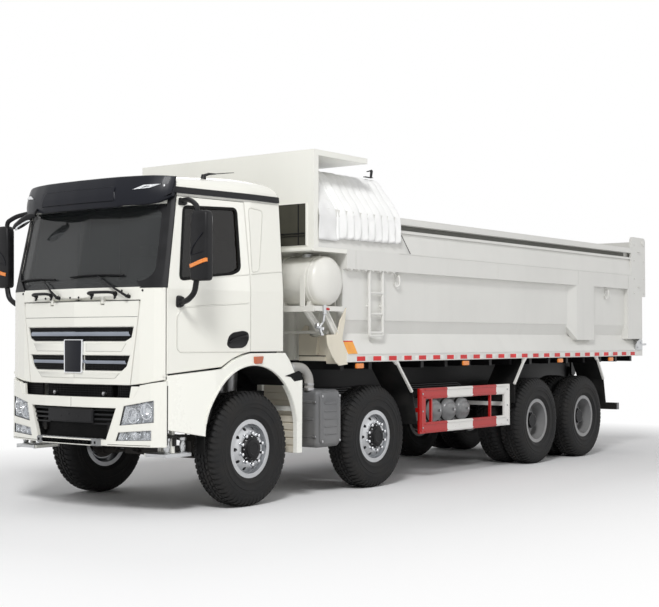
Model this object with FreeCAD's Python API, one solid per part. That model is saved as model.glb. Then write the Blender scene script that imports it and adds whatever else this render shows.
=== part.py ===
# Four-axle dump truck with a cab over its engine, a steel load box that tips
# backwards on a front telescopic hoist, and a top-hinged tailgate.
# Millimetres. X runs to the truck's left, Y to its rear, Z up. The origin lies on
# the ground, on the centre line, half way along the truck. Fore and aft places are
# measured from the first axle and turned into Y by the function along().
import FreeCAD, Part
import math
import os

V = FreeCAD.Vector

# ---- overall sizes ----
half_width = 1250.0
front_overhang = 1350.0
axle_gap_front = 2100.0
axle_gap_long = 3575.0
axle_gap_bogie = 1350.0
running_gap = 0.05
joint_gap = 6.0

# ---- wheels ----
tyre_radius = 562.5
tyre_width = 313.0
tyre_wall = 26.0
rim_flange_radius = 298.0
rim_seat_radius = 254.0
rim_wall = 11.0
rim_width = 240.0
twin_spacing = 345.0
hub_radius = 128.0
drum_radius = 208.0
drum_wall = 14.0
front_track = 2040.0
king_pin_x = 838.0
king_pin_radius = 25.0
spindle_radius = 45.0
rear_spindle_radius = 62.0

# ---- frame ----
frame_half_width = 430.0
rail_top = 1080.0
rail_height = 300.0
rail_flange = 80.0
rail_wall = 9.0
rail_front = -1060.0
rail_rear = 8180.0
engine_gap = 30.0
tow_pin_radius = 20.0

# ---- cab ----
cab_bottom = 1200.0
cab_belt = 2100.0
cab_gutter = 2985.0
cab_rear = 450.0
cab_skin = 60.0
cab_pivot_y = -1180.0
cab_pivot_z = 800.0
lid_top = 1990.0
lid_half_width = 815.0
cab_nose = -1262.0
door_front = -1085.0
door_rear = -68.0
door_bottom_front = 1312.0
door_bottom_rear = 1368.0
lid_pin_y = -1216.0
lid_pin_z = 1978.0
lid_gap = 8.0
lid_thickness = 30.0
bumper_wall = 40.0

# ---- load box ----
box_front = 1440.0
wall_thickness = 50.0
box_rear = 8940.0
box_bottom = 1388.0
box_inner_half = 1105.0
floor_top = 1450.0
floor_thickness = 45.0
box_top = 3000.0
head_front = 865.0
head_top = 3600.0
head_ledge = 2590.0
bed_pivot_y = 8150.0
bed_pivot_z = 1165.0
bed_pin_radius = 32.0
ear_reach = 120.0
gate_gap = 8.0
gate_pivot_y = 8972.0
gate_pivot_z = 3095.0
gate_pin_radius = 20.0
gate_thickness = 70.0
gate_inset = 38.0
tilt_limit = 45.0
tarp_overhang = 35.0

# ---- hoist ----
hoist_base_y = 945.0
hoist_base_z = 840.0
hoist_eye_y = 1005.0
hoist_eye_z = 2430.0
hoist_stages = 4
hoist_outer_radius = 92.0
hoist_wall = 8.0

axle_from_first = [0.0, axle_gap_front, axle_gap_front + axle_gap_long]
axle_from_first.append(axle_from_first[2] + axle_gap_bogie)
overall_length = front_overhang + box_rear + ear_reach
first_axle_y = front_overhang - overall_length / 2
sides = (("left", 1), ("right", -1))


def along(distance):
    return first_axle_y + distance


# ---- shape helpers ----
def block(x0, x1, y0, y1, z0, z1):
    return Part.makeBox(x1 - x0, y1 - y0, z1 - z0, V(x0, along(y0), z0))


def face_from(points):
    return Part.Face(Part.makePolygon(points + [points[0]]))


def side_prism(points, x0, x1):
    # an outline of (distance behind the first axle, height), run across from x0 to x1
    outline = [V(x0, along(y), z) for y, z in points]
    return face_from(outline).extrude(V(x1 - x0, 0, 0))


def front_prism(points, y0, y1):
    # an outline of (x, height), run rearwards from y0 to y1
    outline = [V(x, along(y0), z) for x, z in points]
    return face_from(outline).extrude(V(0, y1 - y0, 0))


def plan_prism(points, z0, z1):
    # an outline of (x, distance behind the first axle), run up from z0 to z1
    outline = [V(x, along(y), z0) for x, y in points]
    return face_from(outline).extrude(V(0, 0, z1 - z0))


def cross_rod(radius, x0, x1, y, z):
    return Part.makeCylinder(radius, x1 - x0, V(x0, along(y), z), V(1, 0, 0))


def long_rod(radius, y0, y1, x, z):
    return Part.makeCylinder(radius, y1 - y0, V(x, along(y0), z), V(0, 1, 0))


def post(radius, x, y, z0, z1):
    return Part.makeCylinder(radius, z1 - z0, V(x, along(y), z0), V(0, 0, 1))


def bar(start, end, radius):
    a = V(start[0], along(start[1]), start[2])
    b = V(end[0], along(end[1]), end[2])
    return Part.makeCylinder(radius, (b - a).Length, a, b - a)


def joined(shapes):
    whole = shapes[0]
    if len(shapes) > 1:
        whole = whole.multiFuse(shapes[1:])
    return whole.removeSplitter()


def mirrored(shape):
    return shape.mirror(V(0, 0, 0), V(1, 0, 0))


def both(shape):
    return Part.makeCompound([shape, mirrored(shape)])


def on_side(shape, sign):
    return shape if sign > 0 else mirrored(shape)


def turned(profile, y, z):
    # a closed outline of (x, radius) turned about a cross axle at y, z
    outline = [V(x, along(y), z + r) for x, r in profile]
    return face_from(outline).revolve(V(0, along(y), z), V(1, 0, 0), 360)


def save(name, shape):
    os.makedirs("parts", exist_ok=True)
    shape.exportStep("parts/" + name + ".step")
    print(name, len(shape.Solids), "solids", round(shape.Volume / 1e6, 1), "litres")


# ---- wheels ----
def tyre_at(centre_x, y):
    half = tyre_width / 2
    bead = rim_seat_radius + 0.5
    seat = rim_width / 2 - 12.5
    crown = tyre_radius
    over = rim_flange_radius + 0.5
    inside = half - tyre_wall
    right = [(seat, bead), (seat, over), (half - 14, over + 22), (half, bead + 150), (half - 8, crown - 75),
             (half - 30, crown - 22), (half - 58, crown - 3)]
    outer = [(-x, r) for x, r in right] + [(0, crown)] + list(reversed(right))
    right_inside = [(seat - tyre_wall, bead), (seat - tyre_wall + 5, over + 30), (inside, bead + 150),
                    (inside - 8, crown - 85), (half - 70, crown - 34)]
    inner = right_inside + [(-x, r) for x, r in reversed(right_inside)]
    profile = [(centre_x + x, r) for x, r in outer + inner]
    return turned(profile, y, tyre_radius)


def rim_barrel(centre_x, y):
    half = rim_width / 2
    seat = rim_seat_radius
    lip = rim_flange_radius
    profile = [(-half, seat - rim_wall), (half, seat - rim_wall), (half, lip), (half - 12, lip),
               (half - 12, seat), (-half + 12, seat), (-half + 12, lip), (-half, lip)]
    return turned([(centre_x + x, r) for x, r in profile], y, tyre_radius)


def front_rim(y):
    centre = front_track / 2
    half = rim_width / 2
    barrel = rim_barrel(centre, y)
    seat = rim_seat_radius - rim_wall
    dish = [(centre + half - 62, seat + 5), (centre + half - 8, seat - 60), (centre + half + 4, seat - 78),
            (centre + half + 4, hub_radius - 10), (centre + half - 14, hub_radius - 10),
            (centre + half - 14, seat - 84), (centre + half - 24, seat - 66), (centre + half - 82, seat + 5)]
    disc = turned(dish, y, tyre_radius)
    for index in range(10):
        angle = math.radians(36 * index + 18)
        radius = seat - 42
        centre_z = tyre_radius + radius * math.cos(angle)
        hole = cross_rod(17, centre - 60, centre + half + 60, y + radius * math.sin(angle), centre_z)
        disc = disc.cut(hole)
    hub_back = king_pin_x + 112
    hub = cross_rod(hub_radius, hub_back, centre + half + 4, y, tyre_radius)
    hub = hub.fuse(cross_rod(hub_radius - 38, centre + half, centre + half + 46, y, tyre_radius))
    drum = turned([(hub_back, drum_radius - drum_wall), (hub_back, drum_radius),
                   (centre + half - 30, drum_radius - 32), (centre + half - 30, drum_radius - 32 - drum_wall)],
                  y, tyre_radius)
    drum_face = turned([(centre + half - 44, hub_radius - 5), (centre + half - 30, hub_radius - 5),
                        (centre + half - 30, drum_radius - 40), (centre + half - 44, drum_radius - 40)],
                       y, tyre_radius)
    bore = cross_rod(spindle_radius + running_gap, hub_back - 1, centre + 86, y, tyre_radius)
    return joined([barrel, disc, hub, drum, drum_face]).cut(bore)


def twin_centres():
    outer = half_width - tyre_width / 2
    return outer, outer - twin_spacing


def twin_rim(y):
    outer, inner = twin_centres()
    face = (outer + inner) / 2
    seat = rim_seat_radius - rim_wall
    shapes = []
    for centre, way in ((outer, 1), (inner, -1)):
        near = centre - way * rim_width / 2
        dish = [(near + way * 62, seat + 5), (near + way * 44, seat + 5), (face, hub_radius + 46),
                (face, hub_radius - 10), (face + way * 15, hub_radius - 10), (face + way * 15, hub_radius + 38)]
        shapes.append(rim_barrel(centre, y))
        disc = turned(dish, y, tyre_radius)
        for index in range(10):
            angle = math.radians(36 * index)
            radius = (seat + hub_radius + 46) / 2 + 6
            centre_z = tyre_radius + radius * math.cos(angle)
            disc = disc.cut(cross_rod(17, inner, outer, y + radius * math.sin(angle), centre_z))
        shapes.append(disc)
    hub_start = inner - 80
    hub = cross_rod(hub_radius, hub_start, outer + 10, y, tyre_radius)
    cap = cross_rod(hub_radius - 42, outer, outer + 62, y, tyre_radius)
    drum = turned([(hub_start, drum_radius - drum_wall), (hub_start, drum_radius),
                   (face - 30, drum_radius), (face - 30, hub_radius - 5), (face - 44, hub_radius - 5),
                   (face - 44, drum_radius - drum_wall)], y, tyre_radius)
    bore = cross_rod(rear_spindle_radius + running_gap, hub_start - 1, outer - 30, y, tyre_radius)
    return joined(shapes + [hub, cap, drum]).cut(bore)


def knuckle(y):
    centre = tyre_radius
    web_x = king_pin_x + 54
    web = block(web_x, web_x + 34, y - 62, y + 62, centre - 142, centre + 142)
    arms = [block(king_pin_x - 38, web_x + 10, y - 42, y + 42, centre + 86, centre + 142),
            block(king_pin_x - 38, web_x + 10, y - 42, y + 42, centre - 142, centre - 86)]
    pin = post(king_pin_radius, king_pin_x, y, centre - 120, centre + 120)
    spindle = cross_rod(spindle_radius, web_x + 20, front_track / 2 + 80, y, centre)
    plate = cross_rod(drum_radius - drum_wall - 6, web_x + 34, web_x + 40, y, centre)
    steer_arm = block(king_pin_x - 30, king_pin_x + 20, y + 30, y + 190, centre - 142, centre - 112)
    return joined([web] + arms + [pin, spindle, plate, steer_arm])


def build_wheels():
    for number in (1, 2):
        y = axle_from_first[number - 1]
        tyre = tyre_at(front_track / 2, y)
        rim = front_rim(y)
        steered = knuckle(y)
        for side, sign in sides:
            save("tyre_%d_%s" % (number, side), on_side(tyre, sign))
            save("rim_%d_%s" % (number, side), on_side(rim, sign))
            save("knuckle_%d_%s" % (number, side), on_side(steered, sign))
    outer, inner = twin_centres()
    for number in (3, 4):
        y = axle_from_first[number - 1]
        tyres = Part.makeCompound([tyre_at(outer, y), tyre_at(inner, y)])
        rim = twin_rim(y)
        for side, sign in sides:
            save("twin_tyres_%d_%s" % (number, side), on_side(tyres, sign))
            save("twin_rim_%d_%s" % (number, side), on_side(rim, sign))


# ---- axles, springs and frame ----
def front_beam(y):
    centre = tyre_radius
    eye_x = king_pin_x
    shapes = [block(-560, 560, y - 45, y + 45, centre - 130, centre - 20)]
    for sign in (1, -1):
        shapes.append(post(46, sign * eye_x, y, centre - 80, centre + 80))
        shapes.append(on_side(block(500, eye_x - 30, y - 45, y + 45, centre - 78, centre + 42), sign))
        seat = block(frame_half_width - 95, frame_half_width, y - 60, y + 60, centre - 30, centre + 42)
        shapes.append(on_side(seat, sign))
    beam = joined(shapes)
    for sign in (1, -1):
        beam = beam.cut(post(king_pin_radius + running_gap, sign * eye_x, y, centre - 81, centre + 81))
    return beam


def rear_housing(y):
    outer, inner = twin_centres()
    plate_x = inner - 96
    tube = cross_rod(78, -plate_x, plate_x, y, tyre_radius)
    bowl = turned([(-215, 0), (-215, 70), (-145, 165), (-50, 212), (50, 212), (145, 165), (215, 70), (215, 0)],
                  y, tyre_radius)
    nose = long_rod(95, y - 330, y, 0, tyre_radius + 40)
    shapes = [tube, bowl, nose]
    for sign in (1, -1):
        spindle = cross_rod(rear_spindle_radius, plate_x - 20, outer - 36, y, tyre_radius)
        plate = cross_rod(drum_radius - drum_wall - 6, plate_x, plate_x + 8, y, tyre_radius)
        shapes.append(on_side(spindle, sign))
        shapes.append(on_side(plate, sign))
    return joined(shapes)


def build_axles():
    beams = [front_beam(axle_from_first[index]) for index in (0, 1)]
    housings = [rear_housing(axle_from_first[index]) for index in (2, 3)]
    save("axles", Part.makeCompound(beams + housings))


def front_spring(y):
    seat = tyre_radius + 42
    under = rail_top - rail_height
    half = 760
    leaf = [(y - half, under - 60), (y - 90, seat), (y + 90, seat), (y + half, under - 60),
            (y + half, under - 36), (y + 90, seat + 62), (y - 90, seat + 62), (y - half, under - 36)]
    x0 = frame_half_width - 88
    shapes = [side_prism(leaf, x0, x0 + 80)]
    for end in (y - half, y + half - 70):
        shapes.append(block(x0 + 6, x0 + 74, end, end + 70, under - 60, under))
    return joined(shapes)


def bogie_spring():
    middle = (axle_from_first[2] + axle_from_first[3]) / 2
    low = tyre_radius + 78
    under = rail_top - rail_height
    x0 = frame_half_width - 88
    reach = axle_gap_bogie / 2
    leaf = [(middle - reach - 60, low), (middle - reach + 90, low), (middle, low + 50),
            (middle + reach - 90, low), (middle + reach + 60, low), (middle + reach + 60, low + 34),
            (middle, under - 20), (middle - reach - 60, low + 34)]
    saddle = block(x0, x0 + 80, middle - 110, middle + 110, low + 30, under)
    return joined([side_prism(leaf, x0, x0 + 80), saddle])


def build_springs():
    springs = [front_spring(axle_from_first[0]), front_spring(axle_from_first[1]), bogie_spring()]
    save("leaf_springs", Part.makeCompound(springs + [mirrored(spring) for spring in springs]))


def build_frame():
    low = rail_top - rail_height
    inner = frame_half_width - rail_flange
    rails = []
    for sign in (1, -1):
        rail = block(inner, frame_half_width, rail_front, rail_rear, low, rail_top)
        hollow = block(inner - 1, frame_half_width - rail_wall, rail_front - 1, rail_rear + 1,
                       low + rail_wall, rail_top - rail_wall)
        rails.append(on_side(rail.cut(hollow), sign))
    web = frame_half_width - rail_wall
    cross = []
    for y in (-1000, 1300, 2700, 4400, 5000, 6350, 7550, 8080):
        cross.append(block(-web, web, y - 35, y + 35, low + 40, rail_top - 60))
    lugs = []
    for sign in (1, -1):
        outline = [(bed_pivot_y - 130, rail_top - 140), (bed_pivot_y + 130, rail_top - 140),
                   (bed_pivot_y + 60, bed_pivot_z + 60), (bed_pivot_y - 60, bed_pivot_z + 60)]
        lug = side_prism(outline, frame_half_width, frame_half_width + 30)
        bore = cross_rod(bed_pin_radius + running_gap, frame_half_width - 1, frame_half_width + 31,
                         bed_pivot_y, bed_pivot_z)
        lugs.append(on_side(lug.cut(bore), sign))
    hoist_seat = []
    for sign in (1, -1):
        outline = [(hoist_base_y - 70, hoist_base_z - 60), (hoist_base_y + 70, hoist_base_z - 60),
                   (hoist_base_y + 70, hoist_base_z + 60), (hoist_base_y - 70, hoist_base_z + 60)]
        bracket = side_prism(outline, 150, web)
        bore = cross_rod(30 + running_gap, 149, 260, hoist_base_y, hoist_base_z)
        hoist_seat.append(on_side(bracket.cut(bore), sign))
    cab_lugs = []
    for sign in (1, -1):
        lug = block(frame_half_width + 0.0, frame_half_width + 40, cab_pivot_y - 45, rail_front + 90,
                    cab_pivot_z - 45, cab_pivot_z + 60)
        bore = cross_rod(20 + running_gap, frame_half_width - 1, frame_half_width + 41, cab_pivot_y, cab_pivot_z)
        cab_lugs.append(on_side(lug.cut(bore), sign))
    tow = []
    tow_bore = post(tow_pin_radius, 0, rail_rear + 60, low, rail_top)
    for z in (low + 60, low + 150):
        tow.append(block(-90, 90, 8100, rail_rear + 120, z, z + 30).cut(tow_bore))
    save("frame_rails", joined(rails + cross + lugs + hoist_seat + cab_lugs + tow))


def build_engine():
    engine_half = frame_half_width - rail_flange - engine_gap
    engine = block(-engine_half, engine_half, -760, 420, rail_top - 330, 1370)
    feet_half = frame_half_width - rail_wall
    feet = block(-feet_half, feet_half, -400, -300, rail_top - 200, rail_top - 120)
    save("engine_block", joined([engine, feet]))
    box_end = 790
    box_z = rail_top - rail_height
    gearbox = long_rod(150, 420, box_end, 0, box_z)
    shaft_low = tyre_radius + 40
    first_nose = axle_from_first[2] - 330
    shaft = bar((0, box_end - 20, box_z - 130), (0, first_nose + 30, shaft_low), 45)
    shaft = shaft.cut(block(-100, 100, first_nose - 0.3, first_nose + 60, shaft_low - 100, shaft_low + 100))
    link = long_rod(50, axle_from_first[2] + 212.3, axle_from_first[3] - 330, 0, shaft_low)
    save("driveline", Part.makeCompound([joined([gearbox, shaft]), link]))


# ---- cab ----
def cab_section(z, inset, forward=0.0, narrow=0.0):
    # plan outline of the cab at one height: bowed front, tapered sides, flat back
    points = [(0, -1262 + inset), (lid_half_width, -1187 + inset), (960 - 0.5 * inset, -1150 + inset),
              (1050 - 0.8 * inset, -1112 + 0.7 * inset), (1072 - inset, door_front + 0.2 * inset),
              (1200 - inset, door_rear), (1215 - inset, cab_rear - 40 - 0.4 * inset),
              (1185 - 0.7 * inset, cab_rear - inset)]
    placed = []
    for x, y in points:
        share = (cab_rear - y) / (cab_rear + 1262)
        placed.append((x - narrow * x / 1200, y + forward * share))
    left = [V(x, along(y), z) for x, y in placed]
    right = [V(-x, along(y), z) for x, y in reversed(placed) if x > 1]
    return Part.makePolygon(left + right + [left[0]])


def cab_hull(inset, low=cab_bottom, high=cab_gutter):
    # the cab's outer form, or the same form drawn in by an even skin
    lower = [cab_section(low, inset), cab_section(cab_belt, inset)]
    upper = [cab_section(cab_belt, inset), cab_section(high, inset, 190, 62)]
    return Part.makeLoft(lower, True, True).fuse(Part.makeLoft(upper, True, True)).removeSplitter()


def door_outline(grow):
    return [(door_front - grow, door_bottom_front - grow), (door_front - grow, cab_belt),
            (-905 - grow, cab_gutter - 15 + grow), (-92 + grow, cab_gutter - 15 + grow), (door_rear + grow, 2300),
            (door_rear + grow, 1512 - grow), (-170, 1492 - grow), (-300, 1448 - grow), (-440, door_bottom_rear - grow)]


def door_window_outline(grow):
    return [(-930 - grow, 2188 - grow), (-838 - grow, 2875 + grow), (-196 + grow, 2898 + grow),
            (-190 + grow, 2305 - grow), (-300, 2262 - grow), (-620, 2225 - grow)]


def windscreen_outline(grow):
    right = [(880 + grow, 2118 - grow), (985 + grow, 2200), (955 + grow, 2900 + grow)]
    left = [(-x, z) for x, z in reversed(right)]
    return right + left


def lid_outline(grow):
    right = [(lid_half_width + grow, lid_top + grow), (700 + grow, 1206 - grow)]
    left = [(-x, z) for x, z in reversed(right)]
    return right + left


def cab_front_cut():
    # everything of the cab's skin that is ahead of the doors
    return block(-1300, 1300, -1400, -600, cab_bottom - 10, cab_gutter + 5)


def build_cab():
    outer = cab_hull(0)
    inner = cab_hull(cab_skin, cab_bottom - 5, cab_gutter + 5)
    skin = outer.cut(inner)
    corner_post = block(850, 1000, -1150, -1030, cab_bottom - 10, cab_belt + 40)
    door_hole = side_prism(door_outline(0), 900, 1300).cut(block(850, 1000 + joint_gap, -1150, -1024,
                                                                 cab_bottom - 10, cab_belt + 46))
    door_gap = side_prism(door_outline(joint_gap), 900, 1300).cut(corner_post)
    window = side_prism(door_window_outline(0), 900, 1300)
    screen = front_prism(windscreen_outline(0), -1400, -700)
    lid_hole = front_prism(lid_outline(lid_gap), -1400, -1000)
    lid_shape = front_prism(lid_outline(0), -1400, -1000)

    # underside: the side skin stops above the wheel arch
    arch_drop = side_prism([(door_front - joint_gap, cab_bottom - 20), (cab_rear + 20, cab_bottom - 20),
                            (cab_rear + 20, 1512), (door_rear, 1512), (-170, 1492), (-300, 1448),
                            (-440, door_bottom_rear), (door_front - joint_gap, door_bottom_front)], -1300, 1300)
    skin = skin.cut(arch_drop)
    skin = skin.cut(door_gap).cut(mirrored(door_gap))

    front = skin.common(cab_front_cut()).cut(screen).cut(lid_hole)
    walls = skin.cut(block(-1300, 1300, -1400, -600, cab_bottom - 10, cab_gutter + 5))
    return outer, inner, front, walls, door_hole, window, screen, lid_shape


def hinge_lug(x, y, z0, z1, radius):
    lug = block(x - 34, x + 10, y - 48, y + 10, z0, z1)
    return lug.cut(post(radius, x, y, z0 - 1, z1 + 1))


def pivot_arm():
    # goose-necked arm that carries the cab on its tilt pin and swings clear of the bumper
    y = cab_pivot_y
    z = cab_pivot_z
    outline = [(y - 42, z - 20), (y, z - 44), (y + 60, z - 20), (y + 330, z + 200), (y + 330, 1453),
               (y + 230, 1453), (y + 230, z + 260), (y - 30, z + 40)]
    x0 = frame_half_width + 46
    arm = side_prism(outline, x0, x0 + 32)
    pin = cross_rod(20, frame_half_width - 20, x0 + 10, y, z)
    return joined([arm, pin])


def build_cab_nodes():
    outer, inner, front, walls, door_hole, window, screen, lid_shape = build_cab()
    pin_x = 1050.0
    pin_y = door_front + 16
    pin_radius = 6.0
    nose_radius = 22.0
    seated = 0.3
    room = cab_hull(cab_skin + seated, cab_bottom, cab_gutter)

    floor = room.common(block(-1300, 1300, -1300, 600, 1452, 1512))
    sill = side_prism([(door_front - 60, 1400), (door_rear + 40, 1400), (door_rear + 40, 1560),
                       (door_front - 60, 1560)], 900, 1300)
    lug = block(985, 1300, -1150, -1030, 1400, 1560)
    sill = sill.cut(cab_hull(cab_skin + 12, cab_bottom, cab_gutter)).fuse(lug)
    floor = floor.cut(sill).cut(mirrored(sill))
    lid_swing = front_prism(lid_outline(20), -1400, -1090)
    arm = pivot_arm()
    save("cab_floor", joined([floor.cut(lid_swing), arm, mirrored(arm)]))
    save("cab_walls", walls)

    # the door's front edge is rounded about its hinge pin, so that it turns clear of the frame
    door = outer.cut(inner).common(door_hole).cut(window)
    ahead = block(pin_x - 20, 1300, door_front - 20, pin_y, cab_bottom, cab_belt + 300)
    nose = post(nose_radius, pin_x, pin_y, cab_bottom - 1, cab_belt + 301)
    door = door.cut(ahead.cut(nose))
    foot = post(pin_radius, pin_x, pin_y, door_bottom_front - 34, door_bottom_front + 40)
    door = joined([door, foot])
    glass_band = cab_hull(14).cut(cab_hull(22, cab_bottom - 5, cab_gutter + 5))
    glass = glass_band.common(window)
    front = front.cut(post(nose_radius + joint_gap, pin_x, pin_y, cab_bottom - 1, cab_belt + 300))
    front = front.cut(post(nose_radius + joint_gap, -pin_x, pin_y, cab_bottom - 1, cab_belt + 300))
    lug_top = door_bottom_front - joint_gap
    lug = hinge_lug(pin_x, pin_y, lug_top - 22, lug_top, pin_radius + running_gap)
    lip = [(690, 1190), (1300, 1190), (1300, 1340), (1075, 1262), (850, 1222), (700, 1206)]
    raised = front_prism(lip, -1400, -1090)
    front = front.cut(raised).cut(mirrored(raised))

    # lid hinge: ears under the windscreen sill, pins across slots in the lid's top edge
    sweep = math.hypot(lid_pin_y - cab_nose, lid_top - lid_pin_z) + joint_gap
    y = lid_pin_y
    z = lid_pin_z
    rebate = side_prism([(y - sweep - 20, z - 5), (y - sweep, z), (y - sweep, z + 0.72 * sweep),
                         (y - 0.5 * sweep, z + 0.93 * sweep), (y - 2, z + sweep), (y + 4, z + sweep - 6),
                         (y + 15, z + 0.5 * sweep), (y + 15, z - 5)], -lid_half_width, lid_half_width)
    front = front.cut(rebate)
    ears = []
    for sign in (1, -1):
        ear = block(338, 374, y - 13, y + 20, z, z + 75).fuse(cross_rod(14, 338, 374, y, z))
        ear = ear.common(outer)
        ears.append(on_side(ear.cut(cross_rod(pin_radius + running_gap, 337, 375, y, z)), sign))
    save("cab_front_frame", joined([front, lug, mirrored(lug)] + ears))
    for side, sign in sides:
        save("door_" + side, on_side(door, sign))
        save("door_window_" + side, on_side(glass, sign))
    save("windscreen", glass_band.common(screen))
    panel = outer.cut(cab_hull(lid_thickness)).common(lid_shape)
    slots = [[(-744, 1750), (744, 1750), (719, 1650), (640, 1612), (-640, 1612), (-719, 1650)],
             [(-700, 1482), (-130, 1482), (-130, 1335), (-600, 1335), (-660, 1380)],
             [(700, 1482), (130, 1482), (130, 1335), (600, 1335), (660, 1380)]]
    for outline in slots:
        panel = panel.cut(front_prism(outline, -1400, -1000).cut(cab_hull(lid_thickness / 2)))
    pins = []
    for sign in (1, -1):
        panel = panel.cut(on_side(block(330, 382, -1300, -1100, z - 22, z + 60), sign))
        pins.append(on_side(cross_rod(pin_radius, 318, 394, y, z), sign))
    corner = front_prism([(lid_half_width - 12, lid_top + 5), (lid_half_width - 12, lid_top - 75),
                          (lid_half_width + 20, lid_top - 75), (lid_half_width + 20, lid_top + 5)], -1400, -1000)
    panel = panel.cut(corner).cut(mirrored(corner))
    save("front_panel", joined([panel] + pins))

    save("cab_roof", roof_shape(0).cut(roof_shape(62)).removeSplitter())
    build_visor()
    build_inside(room)
    build_mirrors()


def roof_shape(inset):
    # the roof cap's form above the gutter, drawn in by an inset at its sides and top
    low = cab_gutter - (5 if inset > 0 else 0)
    roof_low = cab_section(low, inset, 190, 62)
    roof_mid = cab_section(cab_gutter + 140, 24 + inset, 190, 62)
    roof_top = cab_section(cab_gutter + 200 - inset, 130 + inset, 190, 62)
    lower = Part.makeLoft([roof_low, roof_mid], True, True)
    if inset > 0:
        return lower
    return lower.fuse(Part.makeLoft([roof_mid, roof_top], True, True)).removeSplitter()


def visor_outline(inset):
    right = [(0, -1250 + inset), (500, -1225 + inset), (850 - 0.4 * inset, -1130 + 0.9 * inset),
             (985 - 0.8 * inset, -1040 + 0.6 * inset), (1030 - inset, -985)]
    left = [(-x, y) for x, y in reversed(right) if x > 1]
    return right + left


def build_visor():
    band = plan_prism(visor_outline(0), 2890, 3125).cut(plan_prism(visor_outline(40), 2800, 3090))
    lean = side_prism([(-1400, 2990), (-1400, 3200), (-1120, 3200), (-1262, 2990)], -1300, 1300)
    band = band.cut(lean)
    band = band.cut(roof_shape(-0.3)).cut(cab_hull(-0.3, cab_bottom, cab_gutter + 0.3))
    solid = max(band.Solids, key=lambda piece: piece.Volume)
    save("visor", solid)


def build_inside(room):
    seats = []
    for sign in (1, -1):
        outline = [(-330, 1512), (150, 1512), (190, 1900), (290, 2600), (190, 2620), (70, 1960), (-330, 1930)]
        seats.append(on_side(side_prism(outline, 260, 760), sign))
    save("seats", Part.makeCompound(seats))
    dash = room.common(block(-955, 955, -1260, -830, 1770, 2085))
    dash = dash.cut(front_prism(lid_outline(20), -1400, -1085))
    wheel = Part.makeTorus(215, 17, V(0, 0, 0), V(0, 0.45, 0.9))
    hub = Part.makeCylinder(60, 26, V(0, 0, 0), V(0, 0.45, 0.9))
    spoke = Part.makeBox(430, 40, 14, V(-215, -20, 0))
    spoke.rotate(V(0, 0, 0), V(1, 0, 0), -26.6)
    wheel = wheel.fuse(hub).fuse(spoke)
    wheel.translate(V(500, along(-640), 2150))
    column = bar((500, -640, 2150), (500, -860, 2020), 40)
    save("dashboard", joined([dash, column, wheel]))


def build_mirrors():
    head = block(1240, 1500, -1040, -925, 2150, 2810)
    head = head.makeFillet(42, head.Edges)
    upper = bar((1015, -872, 2915), (1320, -980, 2860), 22)
    upper_drop = bar((1320, -980, 2870), (1350, -985, 2780), 22)
    lower = bar((1050, -1030, 1965), (1300, -985, 2020), 26)
    lower_rise = bar((1300, -985, 2010), (1330, -985, 2200), 26)
    mirror = joined([head, upper, upper_drop, lower, lower_rise])
    mirror = mirror.cut(cab_hull(-0.3))
    mirror = max(mirror.Solids, key=lambda solid: solid.Volume)
    for side, sign in sides:
        save("mirror_" + side, on_side(mirror, sign))


# ---- bumper, lamps and what hangs on the frame ----
def bumper_outline(inset):
    right = [(0, -1330 + inset), (350, -1312 + inset), (592, -1272 + inset), (690, -1254 + inset),
             (960 - 0.4 * inset, -1187 + inset), (1040 - 0.8 * inset, -1135 + 0.6 * inset),
             (1075 - inset, door_front)]
    left = [(-x, y) for x, y in reversed(right) if x > 1]
    return right + left


def lamp_outlines():
    head = [(680, 1013), (985, 1070), (985, 868), (632, 833)]
    fog = [(620, 768), (965, 795), (965, 704), (590, 690)]
    return head, fog


def build_bumper():
    shell = plan_prism(bumper_outline(0), 640, 1250).cut(plan_prism(bumper_outline(bumper_wall), 600, 1300))
    notch = [(-780, 1090), (780, 1090), (850, 1208), (1075, 1248), (1300, 1290), (1300, 1400),
             (-1300, 1400), (-1300, 1290), (-1075, 1248), (-850, 1208)]
    shell = shell.cut(front_prism(notch, -1500, -900))
    shell = shell.cut(front_prism([(-592, 992), (592, 992), (481, 696), (-481, 696)], -1500, -1150))
    lamps = []
    for outline in lamp_outlines():
        hole = front_prism(outline, -1500, -1000)
        shell = shell.cut(hole).cut(mirrored(hole))
        lens = plan_prism(bumper_outline(5), 640, 1250)
        lens = lens.cut(plan_prism(bumper_outline(bumper_wall - 5), 600, 1300))
        lens = lens.common(hole)
        lamps.extend([lens, mirrored(lens)])
    step = block(-340, 340, -1350, -1262, 640, 700)
    stays = []
    for sign in (1, -1):
        stay = block(530, 590, -1262, rail_front + 70, 698, 744)
        reach = block(frame_half_width - 65, 590, rail_front, rail_front + 70, 698, 744)
        rise = block(frame_half_width - 65, frame_half_width - 5, rail_front, rail_front + 70, 700,
                     rail_top - rail_height - 0.3)
        stays.append(on_side(joined([stay, reach, rise]), sign))
    save("bumper", joined([shell, step] + stays))
    save("headlamps", Part.makeCompound(lamps))


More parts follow.
